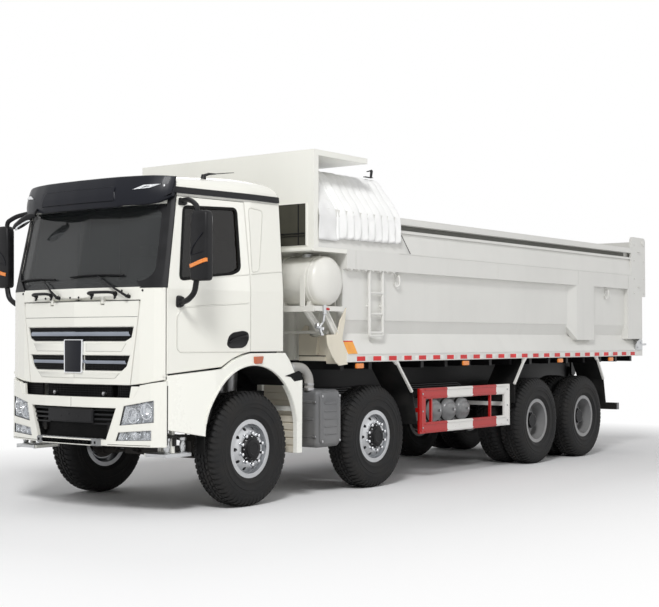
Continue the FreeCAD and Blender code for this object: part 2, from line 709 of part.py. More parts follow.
def build_front_fenders():
    band = [(1072, door_front), (1200, -560), (1215, 740), (1165, 740), (1152, -560), (1026, door_front)]
    outline = [(door_front, 800), (door_front, 1296), (-440, 1352), (-300, 1432), (-170, 1476), (door_rear, 1496),
               (cab_rear, 1496), (520, 1420), (590, 1310), (722, 1216), (716, 480), (590, 480)]
    sheet = plan_prism(band, 470, 1520).common(side_prism(outline, 900, 1300))
    sheet = sheet.cut(block(1000, 1066, door_front - 5, door_front + 60, 1262, 1310))
    arch = cross_rod(655, 900, 1300, -20, 720)
    below = block(900, 1300, -675, 635, 400, 720)
    sheet = sheet.cut(arch).cut(below)
    front_stay = block(frame_half_width, 1090, -960, -900, 820, 880)
    rear_stay = block(frame_half_width, 1180, 664, 712, 900, 950)
    tread = block(760, 1050, -1070, -790, 545, 572)
    hangers = [block(820, 860, -950, -910, 560, 830), block(960, 1000, -950, -910, 560, 830)]
    save("front_fenders", both(joined([sheet, front_stay, rear_stay, tread] + hangers)))


def build_side_equipment():
    tank = block(-1175, -570, 3030, 4290, 470, 1030)
    tank = tank.makeFillet(90, [edge for edge in tank.Edges if abs(edge.tangentAt(0).y) > 0.9])
    brackets = [block(-600, -frame_half_width, y, y + 70, 840, 960) for y in (3250, 4000)]
    save("fuel_tank", joined([tank] + brackets))
    case = block(660, 1180, 1020, 1425, 500, 1105)
    case = case.makeFillet(55, case.Edges)
    arm = block(frame_half_width, 700, 1150, 1250, 840, 940)
    save("air_filter_box", joined([case, arm]))
    tanks = []
    for y in (3520, 3840, 4160):
        shell = cross_rod(132, 560, 1060, y, 775)
        tanks.append(shell.makeFillet(60, shell.Edges[:1] + shell.Edges[2:]))
    shelf = block(frame_half_width, 700, 3420, 4260, 895, 925)
    save("air_tanks", joined(tanks + [shelf]))
    x0 = 1185
    x1 = 1215
    top = block(x0, x1, 2885, 4960, 940, 1066)
    bottom = block(x0, x1, 2885, 4960, 545, 671)
    ends = [block(x0, x1, 2885, 3010, 545, 1066), block(x0, x1, 4830, 4960, 545, 1066)]
    posts = [block(x0, x1, 3126, 3152, 660, 950), block(x0, x1, 4472, 4498, 660, 950)]
    arms = [block(frame_half_width, x0 + 5, y, y + 45, 790, 840) for y in (2895, 4860)]
    save("side_guards", both(joined([top, bottom] + ends + posts + arms)))
    bar_y = 8560
    beam = block(-1000, 1000, bar_y, bar_y + 80, 580, 680)
    arm_line = [(8040, 790), (8170, 860), (bar_y + 80, 680), (bar_y, 590)]
    arm = side_prism(arm_line, frame_half_width + 0.3, frame_half_width + 30)
    arms = [arm, mirrored(arm)]
    save("rear_underrun_bar", joined([beam] + arms))
    build_hydraulic_tank()


def build_hydraulic_tank():
    y = 1130
    z = 2240
    shell = cross_rod(258, 740, 1225, y, z)
    shell = shell.makeFillet(80, shell.Edges[:1] + shell.Edges[2:])
    shelf = block(frame_half_width - 70, 1240, 890, box_front - 75, 1940, 1975)
    saddles = [block(x, x + 50, 980, 1280, 1970, 2030) for x in (800, 1080)]
    column = block(frame_half_width - 70, frame_half_width, 1010, 1330, rail_top, 1945)
    brace = bar((frame_half_width - 30, 1180, 1250), (1140, 1180, 1950), 32)
    save("hydraulic_tank", joined([shell, shelf, column, brace] + saddles))


# ---- load box ----
def side_section():
    inner = box_inner_half
    outer = half_width
    return [(inner, box_bottom), (outer, box_bottom), (outer, 1470), (outer - 115, 1695), (outer - 62, 1840),
            (outer - 62, 2385), (outer, 2385), (outer, 2595), (outer - 38, 2830), (outer - 16, 2830),
            (outer - 16, 2860), (outer - 70, 2862), (outer - 70, 2922), (outer, 2926), (outer, box_top),
            (inner, box_top)]


def build_sides():
    whole = front_prism(side_section(), head_front + 80, box_rear)
    front_cut = block(900, half_width + 50, head_front, box_front, 1300, head_ledge)
    panel = whole.cut(front_cut)
    posts = [side_prism([(6600, 1800), (6790, 1624), (7310, 1624), (7310, 2390), (6600, 2390)],
                        half_width - 100, half_width),
             block(box_inner_half, half_width, 8440, box_rear, 1640, 2390)]
    bevel = plan_prism([(half_width + 1, 6500), (half_width + 1, 6790), (half_width - 65, 6600),
                        (half_width - 150, 6500)], 1500, 2500)
    posts[0] = posts[0].cut(bevel)
    ear = block(half_width - 32, half_width, box_rear - 375, box_rear + ear_reach, 2280, 3170)
    ear = ear.makeFillet(60, [edge for edge in ear.Edges if abs(edge.tangentAt(0).x) > 0.9 and
                              edge.BoundBox.ZMin > 3000])
    shape = joined([panel] + posts + [ear])
    shape = shape.cut(cross_rod(gate_pin_radius + running_gap, half_width - 40, half_width + 1, gate_pivot_y,
                                gate_pivot_z))
    ladder_x = half_width - 24
    rails = [bar((ladder_x, y, 1700), (ladder_x, y, 2400), 17) for y in (1880, 2130)]
    rungs = [long_rod(15, 1880, 2130, ladder_x, z) for z in (1705, 1910, 2140)]
    feet = [block(half_width - 70, ladder_x, y - 12, y + 12, 1990, 2014) for y in (1880, 2130)]
    left = joined([shape] + rails + rungs + feet)
    save("bed_sides", Part.makeCompound([left, mirrored(shape)]))


def build_floor():
    floor_front = box_front + wall_thickness
    plate = block(-box_inner_half, box_inner_half, floor_front, box_rear, floor_top - floor_thickness, floor_top)
    beam_low = rail_top + 0.3
    beam_top = floor_top - floor_thickness
    beam_outer = frame_half_width - 6
    y = bed_pivot_y
    z = bed_pivot_z
    outline = [(box_front + 40, beam_top), (box_front + 40, beam_low + 60), (box_front + 160, beam_low),
               (y, beam_low), (y + 42, z - 64), (y + 72, z - 20), (y + 76, beam_top)]
    shapes = [plate]
    for sign in (1, -1):
        beam = side_prism(outline, beam_outer - 84, beam_outer)
        ear_line = [(y - 76, beam_top), (y - 60, z - 50), (y, z - 78), (y + 60, z - 50), (y + 76, beam_top)]
        ear = side_prism(ear_line, frame_half_width + 36, frame_half_width + 66)
        pin = cross_rod(bed_pin_radius, beam_outer - 40, frame_half_width + 60, y, z)
        shapes.extend([on_side(beam, sign), on_side(ear, sign), on_side(pin, sign)])
    count = 14
    pitch = (box_rear - box_front - 200) / count
    for index in range(count + 1):
        rib_y = box_front + 70 + pitch * index
        shapes.append(block(-box_inner_half, box_inner_half, rib_y, rib_y + 60, beam_top - 100, beam_top))
    save("bed_floor", joined(shapes))


def build_front_wall():
    wall_low = floor_top - floor_thickness
    wall = block(-box_inner_half, box_inner_half, box_front, box_front + wall_thickness, wall_low, 2950)
    ledge = block(-half_width, half_width, head_front, box_front + 20, head_ledge - 45, head_ledge)
    ledge = ledge.cut(block(box_inner_half, half_width + 50, box_front, box_front + 60, 2500, 2700))
    ledge = ledge.cut(block(-half_width - 50, -box_inner_half, box_front, box_front + 60, 2500, 2700))
    head = block(-half_width, half_width, head_front, head_front + 80, head_ledge, head_top)
    head = head.cut(block(-950, 950, head_front - 5, head_front + 90, 2650, 3020))
    roof = block(-half_width, half_width, head_front, 1810, head_top - 60, head_top)
    eyes = []
    for sign in (1, -1):
        line = [(box_front, head_ledge - 45), (box_front, 2330), (hoist_eye_y - 40, hoist_eye_z - 70),
                (hoist_eye_y - 80, head_ledge - 45)]
        eyes.append(on_side(side_prism(line, 78, 98), sign))
    ribs = [block(x, x + 80, box_front - 40, box_front, wall_low, head_ledge - 45) for x in (-900, -560, 480, 820)]
    save("bed_front_wall", joined([wall, ledge, head, roof] + eyes + ribs))


def build_tarp():
    thick = 28
    half = half_width + tarp_overhang
    knee = box_top + 20
    outer = [(half, 2700), (half, knee), (960, 3385)]
    inner = [(half - thick, 2700), (half - thick, knee - 10), (948, 3385 - thick)]
    outline = outer + [(-x, z) for x, z in reversed(outer)] + [(-x, z) for x, z in inner] + list(reversed(inner))
    save("tarp", front_prism(outline, head_front + 80, 2385))


def build_bed_guards():
    second, third, fourth = axle_from_first[1:]
    lines = [[(second + 296, box_bottom), (second + 600, 1046), (second + 690, 660)],
             [(third - 344, box_bottom), (third - 615, 1062), (third - 625, 820)],
             [(fourth + 375, box_bottom), (fourth + 600, 1062), (fourth + 675, 700)]]
    guards = []
    for line in lines:
        back = [(y + 12, z) for y, z in reversed(line)]
        guards.append(side_prism(line + back, 830, 1235))
    save("bed_mudguards", Part.makeCompound(guards + [mirrored(guard) for guard in guards]))


def build_tailgate():
    face = box_rear + gate_gap
    gate_half = half_width - gate_inset
    frame = block(-gate_half, gate_half, face, face + gate_thickness, 1400, 3120)
    panel_wide = (2 * gate_half - 184) / 4
    for index in range(4):
        x = -gate_half + 60 + index * (panel_wide + 18)
        for z0, z1 in ((1470, 2200), (2270, 2990)):
            frame = frame.cut(block(x, x + panel_wide, face + 30, face + gate_thickness + 1, z0, z1))
    pin_x = gate_half - 7
    pins = [cross_rod(gate_pin_radius, sign * pin_x - 40, sign * pin_x + 40, gate_pivot_y, gate_pivot_z)
            for sign in (1, -1)]
    save("tailgate", joined([frame] + pins))


def build_box():
    build_sides()
    build_floor()
    build_front_wall()
    build_tarp()
    build_bed_guards()
    build_tailgate()


# ---- hoist ----
def build_hoist():
    lean = math.degrees(math.atan2(hoist_eye_y - hoist_base_y, hoist_eye_z - hoist_base_z))
    length = math.hypot(hoist_eye_y - hoist_base_y, hoist_eye_z - hoist_base_z)
    base = V(0, along(hoist_base_y), hoist_base_z)

    def placed(shape):
        shape = shape.copy()
        shape.rotate(base, V(1, 0, 0), -lean)
        return shape

    def tube(outer, inner, low, high):
        whole = Part.makeCylinder(outer, high - low, base + V(0, 0, low))
        return whole.cut(Part.makeCylinder(inner, high - low + 2, base + V(0, 0, low - 1)))

    outer = hoist_outer_radius
    inner = outer - hoist_wall
    barrel = tube(outer, inner, -60, 1380)
    floor = Part.makeCylinder(outer, 30, base + V(0, 0, -90))
    trunnion = cross_rod(30, -250, 250, hoist_base_y, hoist_base_z)
    trunnion = trunnion.cut(Part.makeCylinder(inner, 200, base + V(0, 0, -60)))
    collar = tube(outer + 10, inner, 1320, 1380)
    save("hoist_barrel", placed(joined([barrel, floor, trunnion, collar])))
    for stage in range(1, hoist_stages + 1):
        outer = inner - running_gap
        inner = outer - hoist_wall
        low = -52 + 8 * stage
        high = 1380 + 16 * stage
        if stage < hoist_stages:
            shape = tube(outer, inner, low, high)
        else:
            rod = Part.makeCylinder(outer, length - 50 - low, base + V(0, 0, low))
            eye = Part.makeCylinder(58, 100, V(-50, along(hoist_base_y), hoist_base_z + length), V(1, 0, 0))
            hole = Part.makeCylinder(26, 102, V(-51, along(hoist_base_y), hoist_base_z + length), V(1, 0, 0))
            shape = joined([rod, eye]).cut(hole)
        save("hoist_stage_%d" % stage, placed(shape))


if __name__ == "__main__":
    build_wheels()
    build_axles()
    build_springs()
    build_frame()
    build_engine()
    build_cab_nodes()
    build_bumper()
    build_front_fenders()
    build_side_equipment()
    build_box()
    build_hoist()
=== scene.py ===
import math
import random

import bpy
import bmesh
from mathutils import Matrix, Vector


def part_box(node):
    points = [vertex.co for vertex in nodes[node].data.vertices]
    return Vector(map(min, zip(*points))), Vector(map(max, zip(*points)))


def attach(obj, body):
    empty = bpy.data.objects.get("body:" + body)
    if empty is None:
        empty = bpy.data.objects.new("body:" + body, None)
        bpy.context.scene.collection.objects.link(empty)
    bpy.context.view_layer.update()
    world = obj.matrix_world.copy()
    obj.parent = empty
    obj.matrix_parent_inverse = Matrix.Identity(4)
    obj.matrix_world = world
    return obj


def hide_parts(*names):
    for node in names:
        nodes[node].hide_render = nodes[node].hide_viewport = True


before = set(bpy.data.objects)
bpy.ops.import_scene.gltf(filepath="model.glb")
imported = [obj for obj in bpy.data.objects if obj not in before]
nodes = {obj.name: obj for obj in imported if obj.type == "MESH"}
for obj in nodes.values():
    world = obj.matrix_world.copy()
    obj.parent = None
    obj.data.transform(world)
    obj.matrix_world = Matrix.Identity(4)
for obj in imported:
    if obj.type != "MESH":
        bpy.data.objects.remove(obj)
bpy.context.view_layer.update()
scene = bpy.context.scene
sides = {"left": 1, "right": -1}
firstAxle = sum(corner[1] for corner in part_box("tyre_1_left")) / 2
print("frame loaded:", len(nodes), "nodes")

# camera and light: places in metres, angles in degrees
view = {"place": (9.559, -13.576, 1.627), "azimuth": 37.44, "pitch": 1.59, "lens": 71.48, "sensor": 36,
        "reach": 400}
stage = {"half": 80, "colour": (0.94, 0.94, 0.945), "world": 0.42, "clear": (1.6, 5.0), "truck": (1.25, 5.2)}
lamps = {
    "key": {"place": (9.5, -16.5, 15.5), "aim": (0, -1, 1.5), "size": 5, "power": 2550},
    "fill": {"place": (16.0, 6.0, 9.0), "aim": (0, 1, 1.5), "size": 10, "power": 300},
    "back": {"place": (-12.0, 13.0, 10.0), "aim": (0, 1, 1.5), "size": 9, "power": 330},
}


def makeCamera():
    data = bpy.data.cameras.new("camera")
    data.lens = view["lens"]
    data.sensor_width = view["sensor"]
    data.clip_end = view["reach"]
    camera = bpy.data.objects.new("camera", data)
    camera.location = view["place"]
    camera.rotation_euler = (math.radians(90 + view["pitch"]), 0, math.radians(view["azimuth"]))
    scene.collection.objects.link(camera)
    scene.camera = camera


def makeLight(name, values):
    data = bpy.data.lights.new(name, "AREA")
    data.shape = "DISK"
    data.size = values["size"]
    data.energy = values["power"]
    lamp = bpy.data.objects.new(name, data)
    lamp.location = values["place"]
    toward = Vector(values["aim"]) - Vector(values["place"])
    lamp.rotation_euler = toward.to_track_quat("-Z", "Y").to_euler()
    scene.collection.objects.link(lamp)


makeCamera()
for lampName, lampValues in lamps.items():
    makeLight(lampName, lampValues)
scene.view_settings.view_transform = "Standard"
print("camera and lamps placed")


class Sock:
    # a node's output, with arithmetic that adds Math nodes
    def __init__(self, maker, socket):
        self.maker = maker
        self.socket = socket

    def _math(self, operation, *values):
        return self.maker.node("ShaderNodeMath", {"operation": operation}, dict(enumerate(values)))

    def __add__(self, other):
        return self._math("ADD", self, other)

    def __radd__(self, other):
        return self._math("ADD", other, self)

    def __sub__(self, other):
        return self._math("SUBTRACT", self, other)

    def __rsub__(self, other):
        return self._math("SUBTRACT", other, self)

    def __mul__(self, other):
        return self._math("MULTIPLY", self, other)

    def __rmul__(self, other):
        return self._math("MULTIPLY", other, self)

    def __gt__(self, other):
        return self._math("GREATER_THAN", self, other)

    def sine(self):
        return self._math("SINE", self)

    def size(self):
        return self._math("ABSOLUTE", self)

    def most(self, other):
        return self._math("MAXIMUM", self, other)


class Shader:
    # the nodes of a material or a world, built around its main shader
    def __init__(self, owner, main="Principled BSDF"):
        owner.use_nodes = True
        self.owner = owner
        self.tree = owner.node_tree
        self.shader = self.tree.nodes[main]

    def node(self, kind, settings, inputs, output=0):
        made = self.tree.nodes.new(kind)
        for key, value in settings.items():
            if key == "stops":
                for element, (position, colour) in zip(made.color_ramp.elements, value):
                    element.position = position
                    element.color = colour
            else:
                setattr(made, key, value)
        for key, value in inputs.items():
            self.feed(made.inputs[key], value)
        return Sock(self, made.outputs[output])

    def feed(self, target, value):
        if isinstance(value, Sock):
            self.tree.links.new(value.socket, target)
        else:
            target.default_value = value

    def set(self, **values):
        for key, value in values.items():
            self.feed(self.shader.inputs[key.replace("_", " ")], value)

    def place(self):
        return self.node("ShaderNodeTexCoord", {}, {}, 3)

    def axes(self):
        split = self.node("ShaderNodeSeparateXYZ", {}, {0: self.place()})
        return [Sock(self, output) for output in split.socket.node.outputs]

    def noise(self, scale, detail=3.0, stretch=None):
        vector = self.place()
        if stretch:
            vector = self.node("ShaderNodeVectorMath", {"operation": "MULTIPLY"}, {0: vector, 1: stretch})
        return self.node("ShaderNodeTexNoise", {}, {"Vector": vector, "Scale": scale, "Detail": detail})

    def ramp(self, value, low, high):
        stops = [(low, (0, 0, 0, 1)), (high, (1, 1, 1, 1))]
        return self.node("ShaderNodeValToRGB", {"stops": stops}, {0: value})

    def mix(self, factor, first, second):
        return self.node("ShaderNodeMix", {"data_type": "RGBA"}, {0: factor, 6: first, 7: second}, 2)

    def rounded(self, radius):
        return self.node("ShaderNodeBevel", {"samples": 4}, {"Radius": radius})

    def bump(self, height, distance, edge=0.0):
        inputs = {"Height": height, "Distance": distance, "Strength": 1.0}
        if edge:
            inputs["Normal"] = self.rounded(edge)
        return self.node("ShaderNodeBump", {}, inputs)

    def whiteWhereSeen(self, white, share, output):
        # camera, glossy and transmission rays get the white shader, for a share of it
        rays = [self.node("ShaderNodeLightPath", {}, {}, ray) for ray in (0, 3, 6)]
        seen = rays[0].most(rays[1]).most(rays[2])
        factor = seen if share is None else share * seen
        main = Sock(self, self.shader.outputs[0])
        both = self.node("ShaderNodeMixShader", {}, {0: factor, 1: main, 2: white})
        self.feed(self.tree.nodes[output].inputs[0], both)


def newShader(name):
    return Shader(bpy.data.materials.new(name))


def shade(colour, factor=1.0):
    return tuple(min(1.0, channel * factor) for channel in colour) + (1.0,)


def paint(name, colour, rough, coat, edge, dirt=0.04, dust=0.0, specular=0.5, under=None):
    # under is a height and the colour for everything below it
    shader = newShader(name)
    cloud = shader.ramp(shader.noise(1.3, 6.0), 0.35, 0.75)
    runs = shader.ramp(shader.noise(5.0, 4.0, (1, 1, 0.12)), 0.5, 0.8)
    body = shader.mix(cloud, shade(colour), shade(colour, 1 - dirt))
    body = shader.mix(runs * 0.5, body, shade(colour, 1 - 1.6 * dirt))
    if dust:
        up = shader.axes()[2]
        low = shader.ramp(up * -0.6 + 1.05 + shader.noise(4.0, 4.0) * 0.3, 0.45, 1.0)
        body = shader.mix(low * dust, body, (0.3, 0.28, 0.25, 1))
    if under:
        body = shader.mix(shader.axes()[2] > under[0], shade(under[1]), body)
    shader.set(Base_Color=body, Roughness=rough + cloud * 0.05 + shader.noise(40.0) * 0.04,
               Coat_Weight=coat, Coat_Roughness=0.06, Specular_IOR_Level=specular,
               Normal=shader.bump(shader.noise(260.0, 2.0), 0.00008, edge))
    return shader.owner


def moulded(name, colour, rough, grain, edge=0.003, specular=0.5):
    shader = newShader(name)
    worn = shader.ramp(shader.noise(7.0, 5.0), 0.4, 0.8)
    fade = tuple(channel * 1.5 + 0.003 for channel in colour)
    shader.set(Base_Color=shader.mix(worn, shade(colour), shade(fade)), Roughness=rough + worn * 0.08,
               Specular_IOR_Level=specular, Normal=shader.bump(shader.noise(500.0, 2.0), grain, edge))
    return shader.owner


def metal(name, colour, rough, brushed=0.1, edge=0.002, stretch=(1, 24, 24)):
    shader = newShader(name)
    lines = shader.noise(12.0, 4.0, stretch)
    stain = shader.ramp(shader.noise(5.0, 4.0), 0.4, 0.8)
    shader.set(Base_Color=shader.mix(stain * 0.5, shade(colour), shade(colour, 0.75)), Metallic=1.0,
               Roughness=rough + lines * brushed, Normal=shader.rounded(edge))
    return shader.owner


def clear(name, colour, alpha, rough=0.02, specular=0.5):
    shader = newShader(name)
    haze = shader.ramp(shader.noise(2.0, 4.0), 0.45, 0.8)
    shader.set(Base_Color=shader.mix(haze, shade(colour), shade(colour, 1.3)), Roughness=rough + haze * 0.03,
               Alpha=alpha, Specular_IOR_Level=specular)
    return shader.owner


def lens(name, colour, glow):
    shader = newShader(name)
    along, up = shader.axes()[1:]
    ridges = (along * 420).sine() * (up * 420).sine()
    shader.set(Base_Color=shader.mix(ridges * 0.5 + 0.5, shade(colour), shade(colour, 0.7)), Roughness=0.12,
               Coat_Weight=0.6, Coat_Roughness=0.04, Emission_Color=shade(colour), Emission_Strength=glow,
               Normal=shader.bump(ridges, 0.0012))
    return shader.owner


def rubber(name, colour, rough):
    shader = newShader(name)
    dust = shader.ramp(shader.noise(5.0, 6.0), 0.42, 0.72)
    worn = shader.mix(dust * 0.6, shade(colour), (0.034, 0.032, 0.030, 1))
    shader.set(Base_Color=worn, Roughness=rough + dust * 0.15, Specular_IOR_Level=0.2,
               Normal=shader.bump(shader.noise(140.0, 4.0), 0.0008, 0.003))
    return shader.owner


def canvas(name, colour):
    shader = newShader(name)
    across, along, up = shader.axes()
    weave = (along * 1500).sine() + ((across + up) * 1500).sine()
    grime = shader.ramp(shader.noise(2.2, 5.0), 0.4, 0.8)
    shader.set(Base_Color=shader.mix(grime, shade(colour), shade(colour, 0.88)), Roughness=0.6,
               Coat_Weight=0.12, Coat_Roughness=0.35,
               Normal=shader.bump(weave * 0.15 + shader.noise(22.0, 4.0) * 2, 0.0011))
    return shader.owner


def banded(name, first, second, edges):
    # paint that changes colour along the truck at each of the edges
    shader = newShader(name)
    along = shader.axes()[1]
    chips = shader.ramp(shader.noise(30.0, 5.0), 0.7, 0.74)
    steps = [along > edge + firstAxle for edge in edges]
    body = shader.mix(steps[0] - steps[1] + steps[2], shade(first), shade(second))
    body = shader.mix(chips * 0.5, body, shade(first, 0.4))
    shader.set(Base_Color=body, Roughness=shader.noise(30.0) * 0.1 + 0.3, Coat_Weight=0.2, Coat_Roughness=0.1,
               Normal=shader.bump(shader.noise(200.0), 0.0001, 0.004))
    return shader.owner


# each finish: its material slot, its maker, then what the maker takes
finishes = {
    "cabWhite": ("white_paint", paint, (0.88, 0.874, 0.805), 0.2, 0.5, 0.014, 0.015),
    # cab paint made brighter for the fenders: painted light standing in for sun on their faces
    "fenderWhite": ("white_paint", paint, (0.95, 0.948, 0.88), 0.24, 0.3, 0.008, 0.015),
    "boxWhite": ("box_paint", paint, (0.77, 0.765, 0.73), 0.34, 0.2, 0.005, 0.05),
    # box paint made brighter for the headboard: painted light for the sun on its front-facing faces
    "headWhite": ("box_paint", paint, (0.90, 0.896, 0.835), 0.3, 0.3, 0.006, 0.03),
    "tankCream": ("box_paint", paint, (0.8, 0.79, 0.74), 0.3, 0.25, 0.005, 0.05),
    # beige made brighter than the plates' own tone: painted light for the sun on the brackets and mud flaps
    "brightBeige": ("box_paint", paint, (0.80, 0.745, 0.62), 0.5, 0.0, 0.003, 0.10),
    "floorPaint": ("box_paint", paint, (0.77, 0.765, 0.73), 0.4, 0.0, 0.004, 0.06, 0.0, 0.3,
                   (1.444, (0.008, 0.008, 0.009))),
    # painted shade: a near-black paint for the shaded inside of the box seen through the headboard window
    "windowDark": ("box_paint", paint, (0.062, 0.060, 0.046), 0.5, 0.0, 0.001, 0.25, 0.0, 0.2),
    # painted shade: a dark grey for the shadow in the groove under the top rail
    "grooveGrey": ("box_paint", paint, (0.15, 0.15, 0.135), 0.6, 0.0, 0.001, 0.2, 0.0, 0.3),
    "frameBlack": ("chassis_grey", paint, (0.009, 0.009, 0.01), 0.5, 0.0, 0.004, 0.3, 0.1, 0.2),
    "gunGrey": ("chassis_grey", paint, (0.135, 0.139, 0.146), 0.38, 0.1, 0.006, 0.1, 0.2),
    "ironGrey": ("iron", paint, (0.018, 0.018, 0.019), 0.55, 0.0, 0.004, 0.3, 0.2, 0.2),
    "tankGrey": ("iron", paint, (0.30, 0.305, 0.31), 0.25, 0.3, 0.004, 0.05),
    "pipeGrey": ("steel", paint, (0.42, 0.41, 0.39), 0.45, 0.05, 0.003, 0.15, 0.1, 0.4),
    "visorBlack": ("black_plastic", paint, (0.006, 0.007, 0.012), 0.34, 0.05, 0.008, 0.1, 0.0, 0.2),
    "rimPaint": ("rim_silver", paint, (0.27, 0.275, 0.285), 0.32, 0.3, 0.003, 0.1, 0.25),
    "redPaint": ("guard_paint", paint, (0.46, 0.006, 0.005), 0.35, 0.3, 0.002, 0.08),
    "guardPaint": ("guard_paint", banded, (0.46, 0.006, 0.005), (0.82, 0.81, 0.78), (3.474, 4.055, 4.621)),
    "blackPlastic": ("black_plastic", moulded, (0.006, 0.006, 0.007), 0.42, 0.0002, 0.003, 0.25),
    "greyPlastic": ("black_plastic", moulded, (0.2, 0.205, 0.21), 0.45, 0.0002),
    "dashGrey": ("black_plastic", moulded, (0.02, 0.02, 0.022), 0.6, 0.0004, 0.003, 0.2),
    "darkRubber": ("rubber", moulded, (0.004, 0.004, 0.004), 0.65, 0.0004, 0.003, 0.15),
    "redTape": ("guard_paint", moulded, (0.60, 0.008, 0.010), 0.4, 0.0003),
    "whiteTape": ("guard_paint", moulded, (0.66, 0.66, 0.63), 0.3, 0.0003),
    "orangeTape": ("lamp", moulded, (0.85, 0.33, 0.04), 0.3, 0.0003),
    "seatCloth": ("seat_fabric", moulded, (0.02, 0.021, 0.024), 0.85, 0.0012, 0.003, 0.2),
    "rimAlloy": ("rim_silver", metal, (0.56, 0.57, 0.585), 0.26, 0.16),
    "chrome": ("chrome", metal, (0.82, 0.83, 0.85), 0.06, 0.04),
    "blueChrome": ("chrome", metal, (0.34, 0.37, 0.43), 0.12, 0.06),
    "reflector": ("chrome", metal, (0.62, 0.64, 0.67), 0.10, 0.2),
    "mirrorGlass": ("chrome", metal, (0.8, 0.82, 0.84), 0.02, 0.02),
    "castAlloy": ("steel", metal, (0.60, 0.61, 0.62), 0.32, 0.15),
    "steel": ("steel", metal, (0.46, 0.46, 0.47), 0.3, 0.15),
    "tankAlloy": ("tank_alloy", metal, (0.3, 0.305, 0.315), 0.34, 0.12),
    "screenGlass": ("glass", clear, (0.030, 0.033, 0.034), 0.64, 0.04, 0.5),
    "doorGlass": ("glass", clear, (0.006, 0.005, 0.004), 0.80, 0.02, 0.25),
    "lampGlass": ("lamp", clear, (0.8, 0.84, 0.88), 0.14),
    "orangeLens": ("lamp", lens, (0.55, 0.10, 0.02), 0.05),
    "amberLens": ("lamp", lens, (0.9, 0.26, 0.03), 0.12),
    "redLens": ("lamp", lens, (0.6, 0.015, 0.012), 0.08),
    "whiteLens": ("lamp", lens, (0.85, 0.87, 0.9), 0.05),
    "tyreRubber": ("tyre_rubber", rubber, (0.0165, 0.0165, 0.017), 0.62),
    "flapRubber": ("rubber", rubber, (0.008, 0.008, 0.008), 0.7),
    "canvas": ("tarp_cloth", canvas, (0.95, 0.95, 0.94)),
}
finish = {name: maker(name, *values) for name, (slot, maker, *values) in finishes.items()}
print("finishes made:", len(finish))

# the finish of each node that keeps its own shape, and the stand-in finish of the others
nodeFinish = {
    "cabWhite": ["cab_walls", "cab_roof", "cab_front_frame", "front_panel", "door_left", "door_right",
                 "bumper"],
    # the fenders take the brighter paint with painted light
    "fenderWhite": ["front_fenders"],
    "boxWhite": ["bed_sides", "tailgate"],
    # the headboard takes the brighter paint with painted light
    "headWhite": ["bed_front_wall"],
    "floorPaint": ["bed_floor"],
    "tankCream": ["hydraulic_tank"],
    "frameBlack": ["frame_rails", "rear_underrun_bar"],
    "ironGrey": ["axles", "leaf_springs", "engine_block", "driveline", "knuckle_1_", "knuckle_2_"],
    "guardPaint": ["side_guards"],
    "gunGrey": ["air_filter_box"],
    "blackPlastic": ["mirror_left", "mirror_right", "cab_floor"],
    "dashGrey": ["dashboard"],
    "visorBlack": ["visor"],
    "tankAlloy": ["fuel_tank", "air_tanks"],
    "steel": ["hoist_barrel"] + ["hoist_stage_%d" % stageNumber for stageNumber in (1, 2, 3, 4)],
    "screenGlass": ["windscreen"],
    "doorGlass": ["door_window_left", "door_window_right"],
    "lampGlass": ["headlamps"],
    "seatCloth": ["seats"],
    "flapRubber": ["bed_mudguards"],
    "canvas": ["tarp"],
    "tyreRubber": ["tyre_1_", "tyre_2_", "twin_tyres_3_", "twin_tyres_4_"],
    "rimAlloy": ["rim_1_", "rim_2_"],
    "rimPaint": ["twin_rim_3_", "twin_rim_4_"],
}
for finishName, members in nodeFinish.items():
    for member in members:
        for nodeName in [member + side for side in sides] if member.endswith("_") else [member]:
            nodes[nodeName].data.materials.clear()
            nodes[nodeName].data.materials.append(finish[finishName])


def at(x, y, z):
    # y is counted from the first axle, as in every dictionary below
    return Vector((x, y + firstAxle, z))


